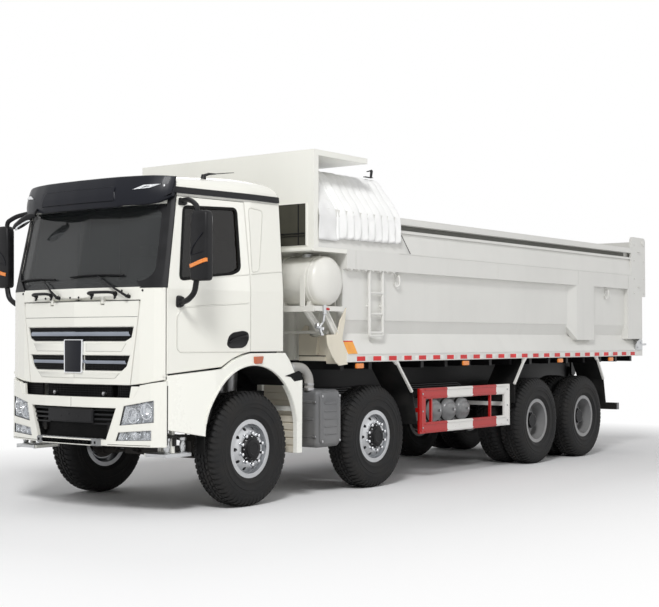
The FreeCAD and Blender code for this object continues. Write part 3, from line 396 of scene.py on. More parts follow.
class Form:
    # one mesh built up from simple solids
    def __init__(self):
        self.mesh = bmesh.new()

    def rings(self, rows, closed=True, caps=True, around=False):
        verts = [[self.mesh.verts.new(at(*point)) for point in row] for row in rows]
        count = len(verts[0])
        for low, high in list(zip(verts, verts[1:])) + ([(verts[-1], verts[0])] if around else []):
            for i in range(count if closed else count - 1):
                j = (i + 1) % count
                self.mesh.faces.new((low[i], low[j], high[j], high[i]))
        if caps and not around:
            self.mesh.faces.new(verts[0][::-1])
            self.mesh.faces.new(verts[-1])
        return self

    def laid(self, surface, levels, caps=True, around=False):
        # each level is an outline and how far it stands out from the surface
        return self.rings([[surface(*point, out) for point in line] for line, out in levels], True, caps,
                          around)

    def slab(self, surface, outline, near, far):
        return self.laid(surface, [(outline, near), (outline, far)])

    def box(self, x0, x1, y0, y1, z0, z1):
        corners = ((x0, y0), (x1, y0), (x1, y1), (x0, y1))
        return self.rings([[(x, y, z) for x, y in corners] for z in (z0, z1)])

    def sideways(self, outline, x0, x1):
        return self.slab(acrossPlane(0), outline, x0, x1)

    def forward(self, outline, y0, y1):
        return self.slab(alongPlane(0), outline, y0, y1)

    def turned(self, profile, y, z, steps=48, closed=True):
        # a profile of (x, radius) turned about a cross axle
        rows = []
        for i in range(steps):
            angle = math.tau * i / steps
            rows.append([(x, y + r * math.sin(angle), z + r * math.cos(angle)) for x, r in profile])
        return self.rings(rows, closed, False, True)

    def tube(self, points, radius, facets=10, loop=False):
        # radius is one number, or one for each point
        path = [Vector(point) for point in points]
        count = len(path)
        rows = []
        guide = None
        for i, point in enumerate(path):
            before = path[i - 1] if i or loop else path[0]
            after = path[(i + 1) % count] if i < count - 1 or loop else path[-1]
            forward = (after - before).normalized()
            guide = guide or forward.orthogonal().normalized()
            guide = (guide - forward * guide.dot(forward)).normalized()
            across = forward.cross(guide)
            reach = radius[i] if isinstance(radius, (list, tuple)) else radius
            turns = [math.tau * k / facets for k in range(facets)]
            rows.append([point + (guide * math.cos(turn) + across * math.sin(turn)) * reach
                         for turn in turns])
        return self.rings(rows, True, not loop, loop)

    def rod(self, start, end, radius, facets=12, endRadius=None):
        return self.tube([start, end], [radius, endRadius or radius], facets)

    def profiled(self, centre, axis, stops, facets):
        # a turned form along any axis, from stops of (distance, radius)
        start, way = Vector(centre), Vector(axis).normalized()
        return self.tube([start + way * far for far, wide in stops], [wide for far, wide in stops], facets)

    def bolt(self, centre, axis, radius, height, facets=6):
        # a low head with a chamfered crown
        stops = ((0, radius), (height * 0.7, radius), (height, radius * 0.72))
        return self.profiled(centre, axis, stops, facets)

    def band(self, path, width, thick, normal, loop=False):
        # a flat strip of the given width laid along a path of points, raised along the normal
        points = [Vector(point) for point in path]
        up = Vector(normal).normalized()
        count = len(points)
        rows = []
        for i, point in enumerate(points):
            ends = []
            if i or loop:
                ends.append((point - points[i - 1]).normalized())
            if i < count - 1 or loop:
                ends.append((points[(i + 1) % count] - point).normalized())
            forward = sum(ends, Vector()).normalized()
            across = forward.cross(up).normalized()
            reach = width / 2 / max(0.35, forward.dot(ends[0]))
            rows.append([point - across * reach, point + across * reach,
                         point + across * reach * 0.9 + up * thick,
                         point - across * reach * 0.9 + up * thick])
        return self.rings(rows, True, not loop, loop)

    def mirrored(self):
        found = self.mesh.verts[:] + self.mesh.edges[:] + self.mesh.faces[:]
        made = bmesh.ops.duplicate(self.mesh, geom=found)["geom"]
        turned = [item for item in made if isinstance(item, bmesh.types.BMVert)]
        bmesh.ops.scale(self.mesh, vec=(-1, 1, 1), verts=turned)
        return self

    def flipped(self):
        bmesh.ops.scale(self.mesh, vec=(-1, 1, 1), verts=self.mesh.verts[:])
        return self

    def joinClose(self, gap=0.00002):
        bmesh.ops.remove_doubles(self.mesh, verts=self.mesh.verts[:], dist=gap)
        return self

    def data(self, name, angle):
        bmesh.ops.recalc_face_normals(self.mesh, faces=self.mesh.faces[:])
        mesh = bpy.data.meshes.new(name)
        self.mesh.to_mesh(mesh)
        mesh.shade_smooth()
        mesh.set_sharp_from_angle(angle=math.radians(angle))
        return mesh


def piece(name, form, look, body, bevel=0.0, stands=(), angle=38):
    # stands are the nodes that the piece replaces, angle is where its shading turns sharp
    mesh = form.data(name, angle)
    mesh.materials.append(finish[look])
    thing = bpy.data.objects.new(name, mesh)
    scene.collection.objects.link(thing)
    if bevel:
        soft = thing.modifiers.new("edges", "BEVEL")
        soft.width = bevel
        soft.segments = 2
        soft.limit_method = "ANGLE"
        soft.angle_limit = math.radians(35)
    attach(thing, body)
    if stands:
        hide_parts(*stands)
    return thing


def doorPiece(name, form, look, side, angle, stands=()):
    # drawn on the left, and turned over for the right
    if side == "right":
        form.flipped()
    piece(name + side.capitalize(), form, look, "door_" + side, 0, stands, angle)


def acrossPlane(x):
    return lambda y, z, out: (x + out, y, z)


def alongPlane(y):
    return lambda x, z, out: (x, y + out, z)


def clamp(value, low=0.0, high=1.0):
    return min(high, max(low, value))


def stepped(points, longest):
    # the same line with extra points, so that it follows a bent surface
    path = []
    for start, end in zip(points, points[1:]):
        count = max(1, math.ceil(math.dist(start, end) / longest))
        path.extend([tuple(a + (b - a) * i / count for a, b in zip(start, end)) for i in range(count)])
    return path + [tuple(points[-1])]


def dense(outline, longest):
    return stepped(outline + outline[:1], longest)[:-1]


def roundedLine(points, radius, loop=True, steps=5):
    # an outline with its corners turned into arcs
    path = []
    count = len(points)
    for i, point in enumerate(points):
        if not loop and i in (0, count - 1):
            path.append(tuple(point))
            continue
        here = Vector(point)
        before = Vector(points[i - 1]) - here
        after = Vector(points[(i + 1) % count]) - here
        reach = min(radius, before.length * 0.45, after.length * 0.45)
        start = here + before.normalized() * reach
        end = here + after.normalized() * reach
        for k in range(steps + 1):
            t = k / steps
            path.append(tuple(start.lerp(here, t).lerp(here.lerp(end, t), t)))
    return path


def rectangle(a0, a1, b0, b1):
    return [(a0, b0), (a1, b0), (a1, b1), (a0, b1)]


def middleOf(points):
    return sum((Vector(point) for point in points), Vector((0, 0))) / len(points)


def grown(points, amount):
    # a flat outline moved outwards from its middle by about the amount
    middle = middleOf(points)
    return [tuple(Vector(p) + (Vector(p) - middle).normalized() * amount) for p in points]


def scaled(points, share):
    middle = middleOf(points)
    return [tuple(middle + (Vector(p) - middle) * share) for p in points]


# wheels
tyre = {
    "radius": 0.5625, "lugs": 58, "rows": [-0.0430, 0.0430], "rowWide": 0.0300, "ribWide": 0.0260,
    "weave": 0.0055, "floor": 0.5460,
    "wall": [(0.1075, 0.2550), (0.1190, 0.2860), (0.1330, 0.3010), (0.1400, 0.3190), (0.1478, 0.3300),
             (0.1480, 0.3400), (0.1448, 0.3480), (0.1480, 0.3800), (0.1508, 0.3990), (0.1556, 0.4035),
             (0.1508, 0.4080), (0.1512, 0.4400), (0.1546, 0.4440), (0.1512, 0.4480), (0.1462, 0.4900),
             (0.1340, 0.5180), (0.1160, 0.5380), (0.0900, 0.5470), (0.0450, 0.5485)],
    "lining": [(0.0600, 0.5300), (0.1150, 0.5150), (0.1290, 0.4300), (0.1150, 0.3200), (0.0950, 0.2600)],
    "lugTop": [(0.0700, 0.5612), (0.0985, 0.5590), (0.1262, 0.5400), (0.1440, 0.5060), (0.1500, 0.4760)],
    "lugFoot": [(0.0700, 0.5450), (0.0960, 0.5440), (0.1180, 0.5300), (0.1340, 0.5020), (0.1440, 0.4740)],
}
# tyres are places across, nuts and bolts are (place across, ring radius, size, length, count)
wheelEnds = {
    "front": {"tyres": {"tyre": 1.02}, "nuts": (1.1440, 0.1535, 0.0185, 0.038, 10), "nutLook": "chrome",
              "capBolts": (1.1550, 0.1165, 0.0075, 0.014, 8),
              "cap": [(1.1435, 0.136), (1.1520, 0.134), (1.1560, 0.122), (1.1720, 0.112), (1.1760, 0.100),
                      (1.1890, 0.096), (1.1935, 0.088), (1.1935, 0.060), (1.1895, 0.056), (1.1895, 0.0005)]},
    "rear": {"tyres": {"outerTyre": 1.0935, "innerTyre": 0.7485}, "nuts": (0.9360, 0.1535, 0.0150, 0.05, 10),
             "nutLook": "steel", "capBolts": (1.1030, 0.1080, 0.0085, 0.014, 8),
             "cap": [(0.9365, 0.136), (0.9500, 0.132), (1.0500, 0.131), (1.0950, 0.128), (1.1040, 0.120),
                     (1.1045, 0.092), (1.1500, 0.090), (1.1580, 0.082), (1.1580, 0.0005)]},
}


def tyreForm(middle, y):
    form = Form()
    radius, floor = tyre["radius"], tyre["floor"]
    wall, lining = tyre["wall"], tyre["lining"]
    profile = wall + [(-x, r) for x, r in reversed(wall)] + [(-x, r) for x, r in reversed(lining)] + lining
    form.turned([(middle + x, r) for x, r in profile], y, radius, 96)
    pitch = math.tau / tyre["lugs"]

    def turned(x, r, angle):
        return (middle + x, y + r * math.sin(angle), radius + r * math.cos(angle))

    # shoulder lugs that lean back towards the crown
    leans = [pitch * 0.28 * share for share in (1, 0.6, 0, 0, 0)]
    section = list(zip(tyre["lugTop"], leans)) + list(zip(tyre["lugFoot"], leans))[::-1]
    half = tyre["rowWide"] / 2
    for i in range(tyre["lugs"]):
        for way, shift in ((1, 0.0), (-1, 0.5)):
            start = (i + shift) * pitch
            form.rings([[turned(way * x, r, angle + lean) for (x, r), lean in section]
                        for angle in (start, start + pitch * 0.6)])
        for k, x in enumerate(tyre["rows"]):
            start = (i + 0.25 + 0.5 * k) * pitch
            corners = [(x + dx, start + turn * pitch * 0.86)
                       for dx, turn in ((-half, 0.0), (half, 0.22), (half, 0.98), (-half, 0.76))]
            form.rings([[turned(cx, r, angle) for cx, angle in corners] for r in (floor, radius - 0.0006)])
    # the weaving middle rib
    rows = []
    half = tyre["ribWide"] / 2
    section = ((-half, floor), (-half, radius - 0.0002), (half, radius - 0.0002), (half, floor))
    for i in range(tyre["lugs"] * 2):
        sway = tyre["weave"] * (1 if i % 2 else -1)
        rows.append([turned(x + sway, r, (i + 0.3) * pitch / 2) for x, r in section])
    return form.rings(rows, False, False, True)


def nutsForm(y, x, ring, size, long, count):
    form = Form()
    shape = ((0, 1.25), (0.12, 1.25), (0.16, 1.0), (0.75, 0.98), (0.9, 0.82), (1.0, 0.45))
    for i in range(count):
        angle = math.tau * i / count
        spot = (x, y + ring * math.sin(angle), tyre["radius"] + ring * math.cos(angle))
        form.profiled(spot, (1, 0, 0), [(long * far, size * wide) for far, wide in shape], 12)
    return form


def makeWheels():
    for number in (1, 2, 3, 4):
        end = wheelEnds["front" if number < 3 else "rear"]
        tyreNode = ("tyre_%d_" if number < 3 else "twin_tyres_%d_") % number
        y = sum(corner.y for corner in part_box(tyreNode + "left")) / 2 - firstAxle
        for side in sides:
            parts = [(name, tyreForm(middle, y), "tyreRubber", (tyreNode + side,))
                     for name, middle in end["tyres"].items()]
            cap = Form().turned(end["cap"], y, tyre["radius"], 40, False)
            parts += [("hubcap", cap, "blackPlastic", ()),
                      ("nuts", nutsForm(y, *end["nuts"]), end["nutLook"], ()),
                      ("capBolts", nutsForm(y, *end["capBolts"]), "steel", ())]
            tag = "%d_%s" % (number, side)
            for name, form, look, stands in parts:
                if side == "right":
                    form.flipped()
                piece(name + "_" + tag, form.joinClose(), look, "wheel_" + tag, 0, stands, 30)


makeWheels()
print("wheels dressed")

# tarp: flat over the headboard, then gathered in folds; its hems hang down both sides
tarp = {
    "front": 0.936, "flatEnd": 1.238, "back": 2.385, "low": 2.672, "side": 1.272, "knee": 3.01, "top": 3.455,
    "shoulder": 0.960, "round": 0.10, "pitch": 0.128, "depth": 0.030, "rows": 210, "columns": 132,
    "crack": (0.045, 0.012, 0.016), "thick": 0.0025, "cut": (3.5, 1.75),
}
tarpHook = {"y": 2.30, "z": 3.463, "x": 0.93}
tarpWire = [(1.262, 2.380, 2.93), (1.262, 2.440, 2.81), (1.262, 2.625, 2.604)]


def walk(points, far):
    # the place and outward direction at a distance along a line in (x, z)
    for start, end in zip(points, points[1:]):
        span = math.dist(start, end)
        if far <= span or end is points[-1]:
            share = min(far / span, 1.0)
            way = ((end[0] - start[0]) / span, (end[1] - start[1]) / span)
            return [start[i] + (end[i] - start[i]) * share for i in (0, 1)], (way[1], -way[0])
        far -= span


def makeTarp():
    # half the line that the cloth follows across the truck, from its left hem to the middle
    line = roundedLine([(tarp["side"], tarp["low"]), (tarp["side"], tarp["knee"]),
                        (tarp["shoulder"], tarp["top"]), (0.0, tarp["top"])], tarp["round"], False, 6)
    half = sum(math.dist(a, b) for a, b in zip(line, line[1:]))
    sideLong = tarp["knee"] - tarp["low"]
    crackDeep, crackPlace, crackWide = tarp["crack"]
    draw = random.Random(7)
    waver = [draw.uniform(-1, 1) for _ in range(40)]
    rows = []
    for j in range(tarp["rows"] + 1):
        v = j / tarp["rows"]
        y = tarp["front"] + v * (tarp["back"] - tarp["front"])
        gathered = y - tarp["flatEnd"]
        loose = clamp(gathered / 0.10)
        turn = gathered / tarp["pitch"] * math.tau
        sway = waver[int(max(0, gathered / tarp["pitch"])) % len(waver)] * 0.5
        crack = crackDeep * math.exp(-((gathered - crackPlace) / crackWide) ** 2)
        row = []
        for i in range(tarp["columns"] + 1):
            u = 2 * i / tarp["columns"] - 1
            far = (1 - abs(u)) * half
            (x, z), out = walk(line, far)
            hang = clamp(1.25 - far / (sideLong + 0.45), 0.25)
            if abs(u) < 0.42:
                hang = 0.30 + 0.25 * abs(math.sin(u * 9 + sway))
            lean = 0.0
            if far > sideLong * 0.8:
                lean = 1.1 * math.sin(far * 4.2 + sway * 2) * (1 - min(1.0, far / 0.3) * 0.35)
            fold = 2.2 * abs(math.cos(0.5 * (turn + lean + 0.55 * sway))) ** 0.75 - 1.2
            ripple = 0.0035 * math.sin(far * 19 + y * 7) * math.sin(y * 31 + far * 5)
            ripple += 0.004 * math.sin(u * 11 + y * 4.7) * (1 - loose)
            push = fold * tarp["depth"] * hang * loose + ripple - tarp["depth"] * 0.3
            push -= crack * clamp(1.35 - abs(u) * 0.9)
            drop = (0.036 + 0.02 * max(0.0, v - 0.6)) * loose * max(0.0, 1 - far / 0.34)
            # the hem's own waves
            if far < 0.10:
                push += 0.006 * math.sin(turn * 0.5 + 1.2) * (1 - far / 0.10)
            if far < 0.05:
                drop += (1 - far / 0.05) * (0.010 * math.sin(turn + 0.6) * loose - 0.004)
            sag = 0.010 * math.sin(math.pi * v) if abs(u) < 0.35 else 0
            rise = out[1] * push if far > sideLong * 0.6 else 0
            slide = 0.016 * hang * loose * math.cos(turn + lean + 0.8)
            row.append(((1 if u < 0 else -1) * (x + out[0] * push), y + slide, z + rise + drop - sag))
        rows.append(row)
    cloth = piece("gatheredTarp", Form().rings(rows, False, False), "canvas", "bed", 0, ("tarp",), 80)
    thick = cloth.modifiers.new("thick", "SOLIDIFY")
    thick.thickness = tarp["thick"]
    thick.offset = -1


def makeTarpHooks():
    form = Form()
    x, y, z = tarpHook["x"], tarpHook["y"], tarpHook["z"]
    form.box(x - 0.03, x + 0.01, y - 0.09, y + 0.055, z, z + 0.008)
    form.sideways([(y + 0.055, z), (y + 0.075, z + 0.085), (y + 0.055, z + 0.10), (y - 0.045, z + 0.07),
                   (y - 0.035, z + 0.062), (y + 0.03, z + 0.075), (y + 0.02, z)], x - 0.018, x - 0.008)
    piece("tarpHooks", form.mirrored(), "blackPlastic", "bed", 0.002)
    wire = Form()
    for start, end in zip(tarpWire, tarpWire[1:]):
        wire.rod(start, end, 0.004, 8)
    piece("tarpEdgeWire", wire.mirrored(), "darkRubber", "bed")


makeTarp()
makeTarpHooks()
print("tarp gathered")

# cab front: the plan is half the outline from above, at the belt line
cabForm = {
    "plan": [(0, -1.262), (0.815, -1.187), (0.96, -1.15), (1.05, -1.112), (1.072, -1.085), (1.2, -0.068),
             (1.215, 0.41), (1.185, 0.45)],
    "rear": 0.45, "belt": 2.1, "gutter": 2.985, "forward": 0.19, "narrow": 0.062, "wide": 1.2,
}
screen = {"outline": [(0.88, 2.118), (0.985, 2.2), (0.955, 2.9)], "border": 0.055, "glassDepth": 0.014,
          "round": 0.07, "middle": 2.5}
pillar = {"low": 2.108, "tall": 0.905, "rows": 14, "steps": 6, "inner": 0.990}
wipers = {
    "left": {"pivot": (0.69, 2.03), "elbow": (0.285, 2.232), "blade": (-0.08, 0.60), "z": 2.240},
    "right": {"pivot": (-0.232, 2.03), "elbow": (-0.50, 2.205), "blade": (-0.93, -0.33), "z": 2.225},
}
grabs = {"z": 2.062, "spans": ((0.21, 0.54), (-0.63, -0.34)), "out": 0.055, "thick": 0.014}
scuttleScrews = [(0.845, 2.085), (-0.845, 2.085), (0.60, 2.085), (0.06, 2.03), (-0.06, 2.03), (-0.46, 2.03)]
grille = {
    "slots": [[(0, 1.744), (0.738, 1.744), (0.714, 1.652), (0.638, 1.616), (0, 1.616)],
              [(0.134, 1.478), (0.694, 1.478), (0.656, 1.382), (0.602, 1.339), (0.134, 1.339)]],
    "nets": [(-0.70, 0.70, 1.622, 1.742), (-0.64, -0.140, 1.345, 1.474), (0.140, 0.64, 1.345, 1.474)],
    "bars": [(-0.700, 0.700, 1.686, 0.046), (0.140, 0.655, 1.420, 0.038), (-0.655, -0.140, 1.420, 0.038)],
    "depth": 0.013, "pitch": 0.018, "wire": 0.0035,
}
emblem = {"half": 0.128, "low": 1.312, "high": 1.632, "out": 0.022}
creases = [[(-0.66, 1.594), (-0.15, 1.594), (-0.15, 1.515), (-0.60, 1.515)],
           [(-0.585, 1.318), (0, 1.318), (0, 1.262), (-0.52, 1.262)]]


def cabPlan(z):
    share = clamp((z - cabForm["belt"]) / (cabForm["gutter"] - cabForm["belt"]))
    rear = cabForm["rear"]
    for x, y in cabForm["plan"]:
        back = (rear - y) / (rear - cabForm["plan"][0][1])
        yield x - cabForm["narrow"] * share * x / cabForm["wide"], y + cabForm["forward"] * share * back


def cabFront(x, z, out=0.0):
    points = list(cabPlan(z))
    for (xa, ya), (xb, yb) in zip(points, points[1:]):
        if abs(x) <= xb:
            return (x, ya + (yb - ya) * (abs(x) - xa) / (xb - xa) - out, z)
    return (x, points[3][1] - out, z)


def cabSide(y, z, out=0.0):
    points = list(cabPlan(z))[3:7]
    for (xa, ya), (xb, yb) in zip(points, points[1:]):
        if y <= yb:
            return (xa + (xb - xa) * max(0.0, (y - ya) / (yb - ya)) + out, y, z)
    return (points[-1][0] + out, y, z)


def makeScreenTrim():
    # the black border of the windscreen, and the pillar covers beside it
    half = screen["outline"]
    depth, border = -screen["glassDepth"], screen["border"]
    rows = []
    for x, z in roundedLine(half + [(-x, z) for x, z in reversed(half)], screen["round"]):
        inner = (x - math.copysign(border * 0.8, x), z + math.copysign(border, screen["middle"] - z))
        rows.append([cabFront(x, z, depth - 0.002), cabFront(x, z, depth + 0.003),
                     cabFront(*inner, depth + 0.003), cabFront(*inner, depth - 0.002)])
    piece("screenBorder", Form().rings(rows, True, False, True), "blackPlastic", "cab")
    rows = []
    for i in range(pillar["rows"] + 1):
        z = pillar["low"] + pillar["tall"] * i / pillar["rows"]
        points = list(cabPlan(z))
        inner = pillar["inner"] - 0.036 * (z - 2.10) / 0.885 - max(0.0, 2.27 - z) * 1.1
        reach = points[3][0] - 0.004 - inner
        front = [cabFront(inner + reach * k / pillar["steps"], z, 0.0055) for k in range(pillar["steps"] + 1)]
        front.append((points[4][0] + 0.003, points[4][1] - 0.004, z))
        rows.append(front + [(px - 0.004, py + 0.011, pz) for px, py, pz in reversed(front)])
    piece("pillarCovers", Form().rings(rows).mirrored(), "blackPlastic", "cab", 0.002)


def makeWipers():
    steps = 12
    for name, spec in wipers.items():
        form = Form()
        base = Vector(cabFront(*spec["pivot"]))
        form.rod(base, base + Vector((0, -0.045, 0.004)), 0.019, 14, 0.014)
        elbow = Vector(cabFront(*spec["elbow"], 0.018))
        top = base + Vector((0, -0.036, 0.004))
        knee = top.lerp(elbow, 0.35) + Vector((0, -0.014, 0))
        form.tube([top + (top - knee) * 0.10, top, knee, elbow], [0.013, 0.014, 0.0105, 0.006], 8)
        form.tube([top + Vector((0.03, -0.004, 0.02)), top], [0.004, 0.006], 6)
        left, right = spec["blade"]
        blade, spine = [], []
        for i in range(steps + 1):
            bow = math.sin(math.pi * i / steps)
            x = left + (right - left) * i / steps
            blade.append(Vector(cabFront(x, spec["z"] - 0.012 + 0.012 * bow, -0.002)))
            spine.append(blade[-1] + Vector((0, -0.014 - 0.006 * bow, 0.004)))
        form.band(blade, 0.016, 0.011, (0, -1, 0.2))
        form.tube(spine, 0.0055, 6)
        piece(name + "Wiper", form, "blackPlastic", "cab")


def makeGrabs():
    z, out = grabs["z"], grabs["out"]
    for number, (left, right) in enumerate(grabs["spans"]):
        form = Form()
        stops = ((left + 0.02, -0.004, 0), (left + 0.005, 0.004, out * 0.8), (left + 0.05, 0.012, out),
                 (right - 0.05, 0.012, out), (right - 0.005, 0.004, out * 0.8), (right - 0.02, -0.004, 0))
        path = [cabFront(x, z + up, away) for x, up, away in stops]
        form.tube(roundedLine(path, 0.04, False, 4), grabs["thick"], 10)
        for x in (left + 0.02, right - 0.02):
            form.rod(cabFront(x, z - 0.004, 0.0), cabFront(x, z - 0.004, 0.016), 0.026, 14, 0.02)
            form.rod(cabFront(x, z - 0.03, 0.004), cabFront(x, z - 0.05, 0.016), 0.012, 8, 0.008)
        piece("grabHandle%d" % (number + 1), form, "blackPlastic", "cab")
    form = Form()
    for x, high in scuttleScrews:
        form.bolt(cabFront(x, high), (0, -1, 0), 0.011, 0.006, 10)
    piece("scuttleScrews", form, "blackPlastic", "cab")


def meshPatch(form, left, right, low, high, surface):
    # crossed wires over a patch, following a surface
    pitch, wire = grille["pitch"], grille["wire"]
    half = wire / 2
    count = int((right - left) / pitch)
    for i in range(count + 1):
        ends = [surface(left + (right - left) * i / count, z, 0) for z in (low, high)]
        form.rings([[(x - half, y, z), (x + half, y, z), (x + half, y - wire, z), (x - half, y - wire, z)]
                    for x, y, z in ends])
    for k in range(int((high - low) / pitch) + 1):
        z = low + k * pitch
        stops = [(left, z), (0, z), (right, z)] if left < 0 < right else [(left, z), (right, z)]
        form.band([surface(*point, 0.0015) for point in stepped(stops, 0.2)], wire, wire, (0, -1, 0))


def makeGrille():
    depth = grille["depth"]

    def sunk(x, z, out):
        return cabFront(x, z, out - depth)

    back, net, bars = Form(), Form(), Form()
    for slot in grille["slots"]:
        back.slab(sunk, slot, -0.001, 0.002)
    piece("grilleBacks", back.mirrored(), "darkRubber", "front_lid")
    for patch in grille["nets"]:
        meshPatch(net, *patch, lambda x, z, out: sunk(x, z, out + 0.003))
    piece("grilleMesh", net, "blackPlastic", "front_lid")
    for left, right, z, tall in grille["bars"]:
        rows = []
        for x in [left, 0, right] if left < 0 < right else [left, right]:
            inset = math.copysign(tall * 0.35, x) if x in (left, right) else 0
            rows.append([sunk(x, z - tall / 2, 0.004), sunk(x, z - tall / 2, 0.010),
                         sunk(x - inset * 0.3, z - tall * 0.1, 0.017),
                         sunk(x - inset, z + tall * 0.28, 0.020), sunk(x - inset, z + tall / 2, 0.008),
                         sunk(x - inset, z + tall / 2, 0.004)])
        bars.rings(rows)
    piece("grilleBars", bars, "blueChrome", "front_lid", 0.0015, (), 25)


def makeEmblemPlate():
    half, low, high, out = emblem["half"], emblem["low"], emblem["high"], emblem["out"]
    outline = roundedLine([(-half, low), (half, low), (half + 0.006, high), (-half - 0.006, high)], 0.012)
    middle = (low + high) / 2

    def levels(*steps):
        return [([(x * share, middle + (z - middle) * (1 - (1 - share) * 0.45)) for x, z in outline], rise)
                for share, rise in steps]

    edge = levels((1.0, -0.001), (1.0, out * 0.7), (0.98, out), (0.88, out), (0.86, out * 0.4))
    piece("emblemFrame", Form().laid(cabFront, edge, False), "chrome", "front_lid", 0, (), 25)
    plate = levels((0.90, 0.0), (0.90, out * 0.5), (0.78, out * 0.72))
    piece("emblemPlate", Form().laid(cabFront, plate), "visorBlack", "front_lid", 0.0015)


def makePanelCreases():
    # pressed ledges between and below the grille openings
    form, seam = Form(), Form()
    for outline in creases:
        form.laid(cabFront, [(outline, -0.001), (scaled(outline, 0.94), 0.004)])
    piece("panelCreases", form.mirrored(), "cabWhite", "front_lid", 0.0015)
    seam.band([cabFront(x, 1.842, 0.0) for x in (-0.79, 0, 0.79)], 0.004, 0.0006, (0, -1, 0))
    piece("panelSeam", seam, "darkRubber", "front_lid")


makeScreenTrim()
makeWipers()
makeGrabs()
makeGrille()
makeEmblemPlate()
makePanelCreases()
print("cab front dressed")

# cab sides and roof: outlines are (y, z)
doorLines = {
    "window": [(-0.93, 2.188), (-0.838, 2.875), (-0.196, 2.898), (-0.19, 2.305), (-0.30, 2.262),
               (-0.62, 2.225)],
    "recess": [(-0.10, 1.513), (-0.975, 1.513), (-0.975, 1.86), (-0.90, 1.93), (-0.42, 1.962),
               (-0.10, 1.985)],
    "belt": [(-0.60, 2.214), (-0.30, 2.244), (-0.085, 2.262)],
    "handle": [(-0.372, 1.575), (-0.352, 1.655), (-0.30, 1.697), (-0.16, 1.716), (-0.100, 1.700),
               (-0.088, 1.640), (-0.125, 1.572), (-0.175, 1.548), (-0.33, 1.545)],
    "lever": [(-0.335, 1.60, 0.004), (-0.31, 1.625, 0.016), (-0.20, 1.655, 0.020), (-0.13, 1.662, 0.014),
              (-0.115, 1.665, 0.002)],
}
quarter = {
    "pressing": [(-0.035, 2.925), (0.165, 2.905), (0.075, 2.330), (0.050, 2.300), (-0.035, 2.285)],
    "belt": [(-0.045, 2.267), (0.08, 2.280), (0.25, 2.296), (0.405, 2.310)],
}
gutterStrip = {"z": 3.032, "tall": 0.058, "thick": 0.011, "front": -0.90, "rear": 0.395, "steps": 14}
roof = {
    "levels": [(2.985, 0.0), (3.06, 0.003), (3.10, 0.014), (3.135, 0.036), (3.165, 0.070), (3.190, 0.118),
               (3.208, 0.18), (3.220, 0.27), (3.226, 0.40)],
    "wide": 1.14, "long": 0.76, "middle": -0.31, "seams": (-0.36, 0.10),
}
visorForm = {
    "plan": [(0, -1.250), (0.3, -1.242), (0.5, -1.227), (0.7, -1.180), (0.85, -1.122), (0.95, -1.058),
             (1.0, -1.012), (1.022, -0.985)],
    "half": 1.022, "low": 2.885, "high": 3.165, "bend": 2.985, "lean": 0.45, "panel": (2.925, 3.072),
    "lamp": [(0.70, 3.028), (0.86, 3.040), (0.945, 3.078), (0.80, 3.070), (0.70, 3.028)],
}
mirror = {
    "x": (1.288, 1.5), "y": (-1.036, -0.926), "z": (2.165, 2.805), "round": 0.030,
    "levels": ((0, 0.030), (0.006, 0.016), (0.02, 0.006), (0.05, 0.0), (0.3, 0.0), (0.7, 0.0), (0.94, 0.002),
               (0.975, 0.010), (0.993, 0.020), (1, 0.036)),
    "lowerArm": [(1.062, -0.945, 1.975), (1.120, -0.952, 1.972), (1.215, -0.968, 1.990),
                 (1.315, -0.982, 2.055), (1.345, -0.984, 2.19)],
    "upperArm": [(1.025, -0.862, 2.925), (1.12, -0.885, 2.935), (1.25, -0.945, 2.905), (1.345, -0.982, 2.85),
                 (1.350, -0.984, 2.79)],
    "panes": ((2.40, 2.775), (2.195, 2.375)),
    # each foot has its outline, corner radius, middle and how far its outer face narrows along the cab
    "feet": (([(-0.990, 1.925), (-0.905, 1.925), (-0.900, 2.035), (-0.985, 2.04)], 0.03, (-0.945, 1.98), 0.75),
             ([(-0.905, 2.885), (-0.815, 2.885), (-0.805, 2.955), (-0.89, 2.960)], 0.02, (-0.855, 2.92), 0.8)),
}


def makeDoorTrim(side):
    trims = (("windowRubber", roundedLine(doorLines["window"], 0.05), 0.030, 0.006, "darkRubber", True,
              -0.002),
             ("recessLine", roundedLine(doorLines["recess"], 0.07, False), 0.014, 0.0045, "cabWhite", False,
              -0.0005),
             ("beltLine", doorLines["belt"], 0.012, 0.004, "cabWhite", False, -0.0005))
    for name, line, wide, thick, look, loop, out in trims:
        path = dense(line, 0.09) if loop else stepped(line, 0.09)
        form = Form().band([cabSide(y, z, out) for y, z in path], wide, thick, (1, 0, 0.06), loop)
        doorPiece(name, form, look, side, 25)
    outline = roundedLine(doorLines["handle"], 0.03)
    levels = ((1.0, -0.001), (0.98, 0.006), (0.90, 0.007), (0.82, 0.003), (0.4, 0.0015))
    cup = Form().laid(cabSide, [(scaled(outline, share), out) for share, out in levels])
    cup.tube(roundedLine([cabSide(*point) for point in doorLines["lever"]], 0.03, False), 0.012, 8)
    doorPiece("doorHandle", cup, "blackPlastic", side, 30)


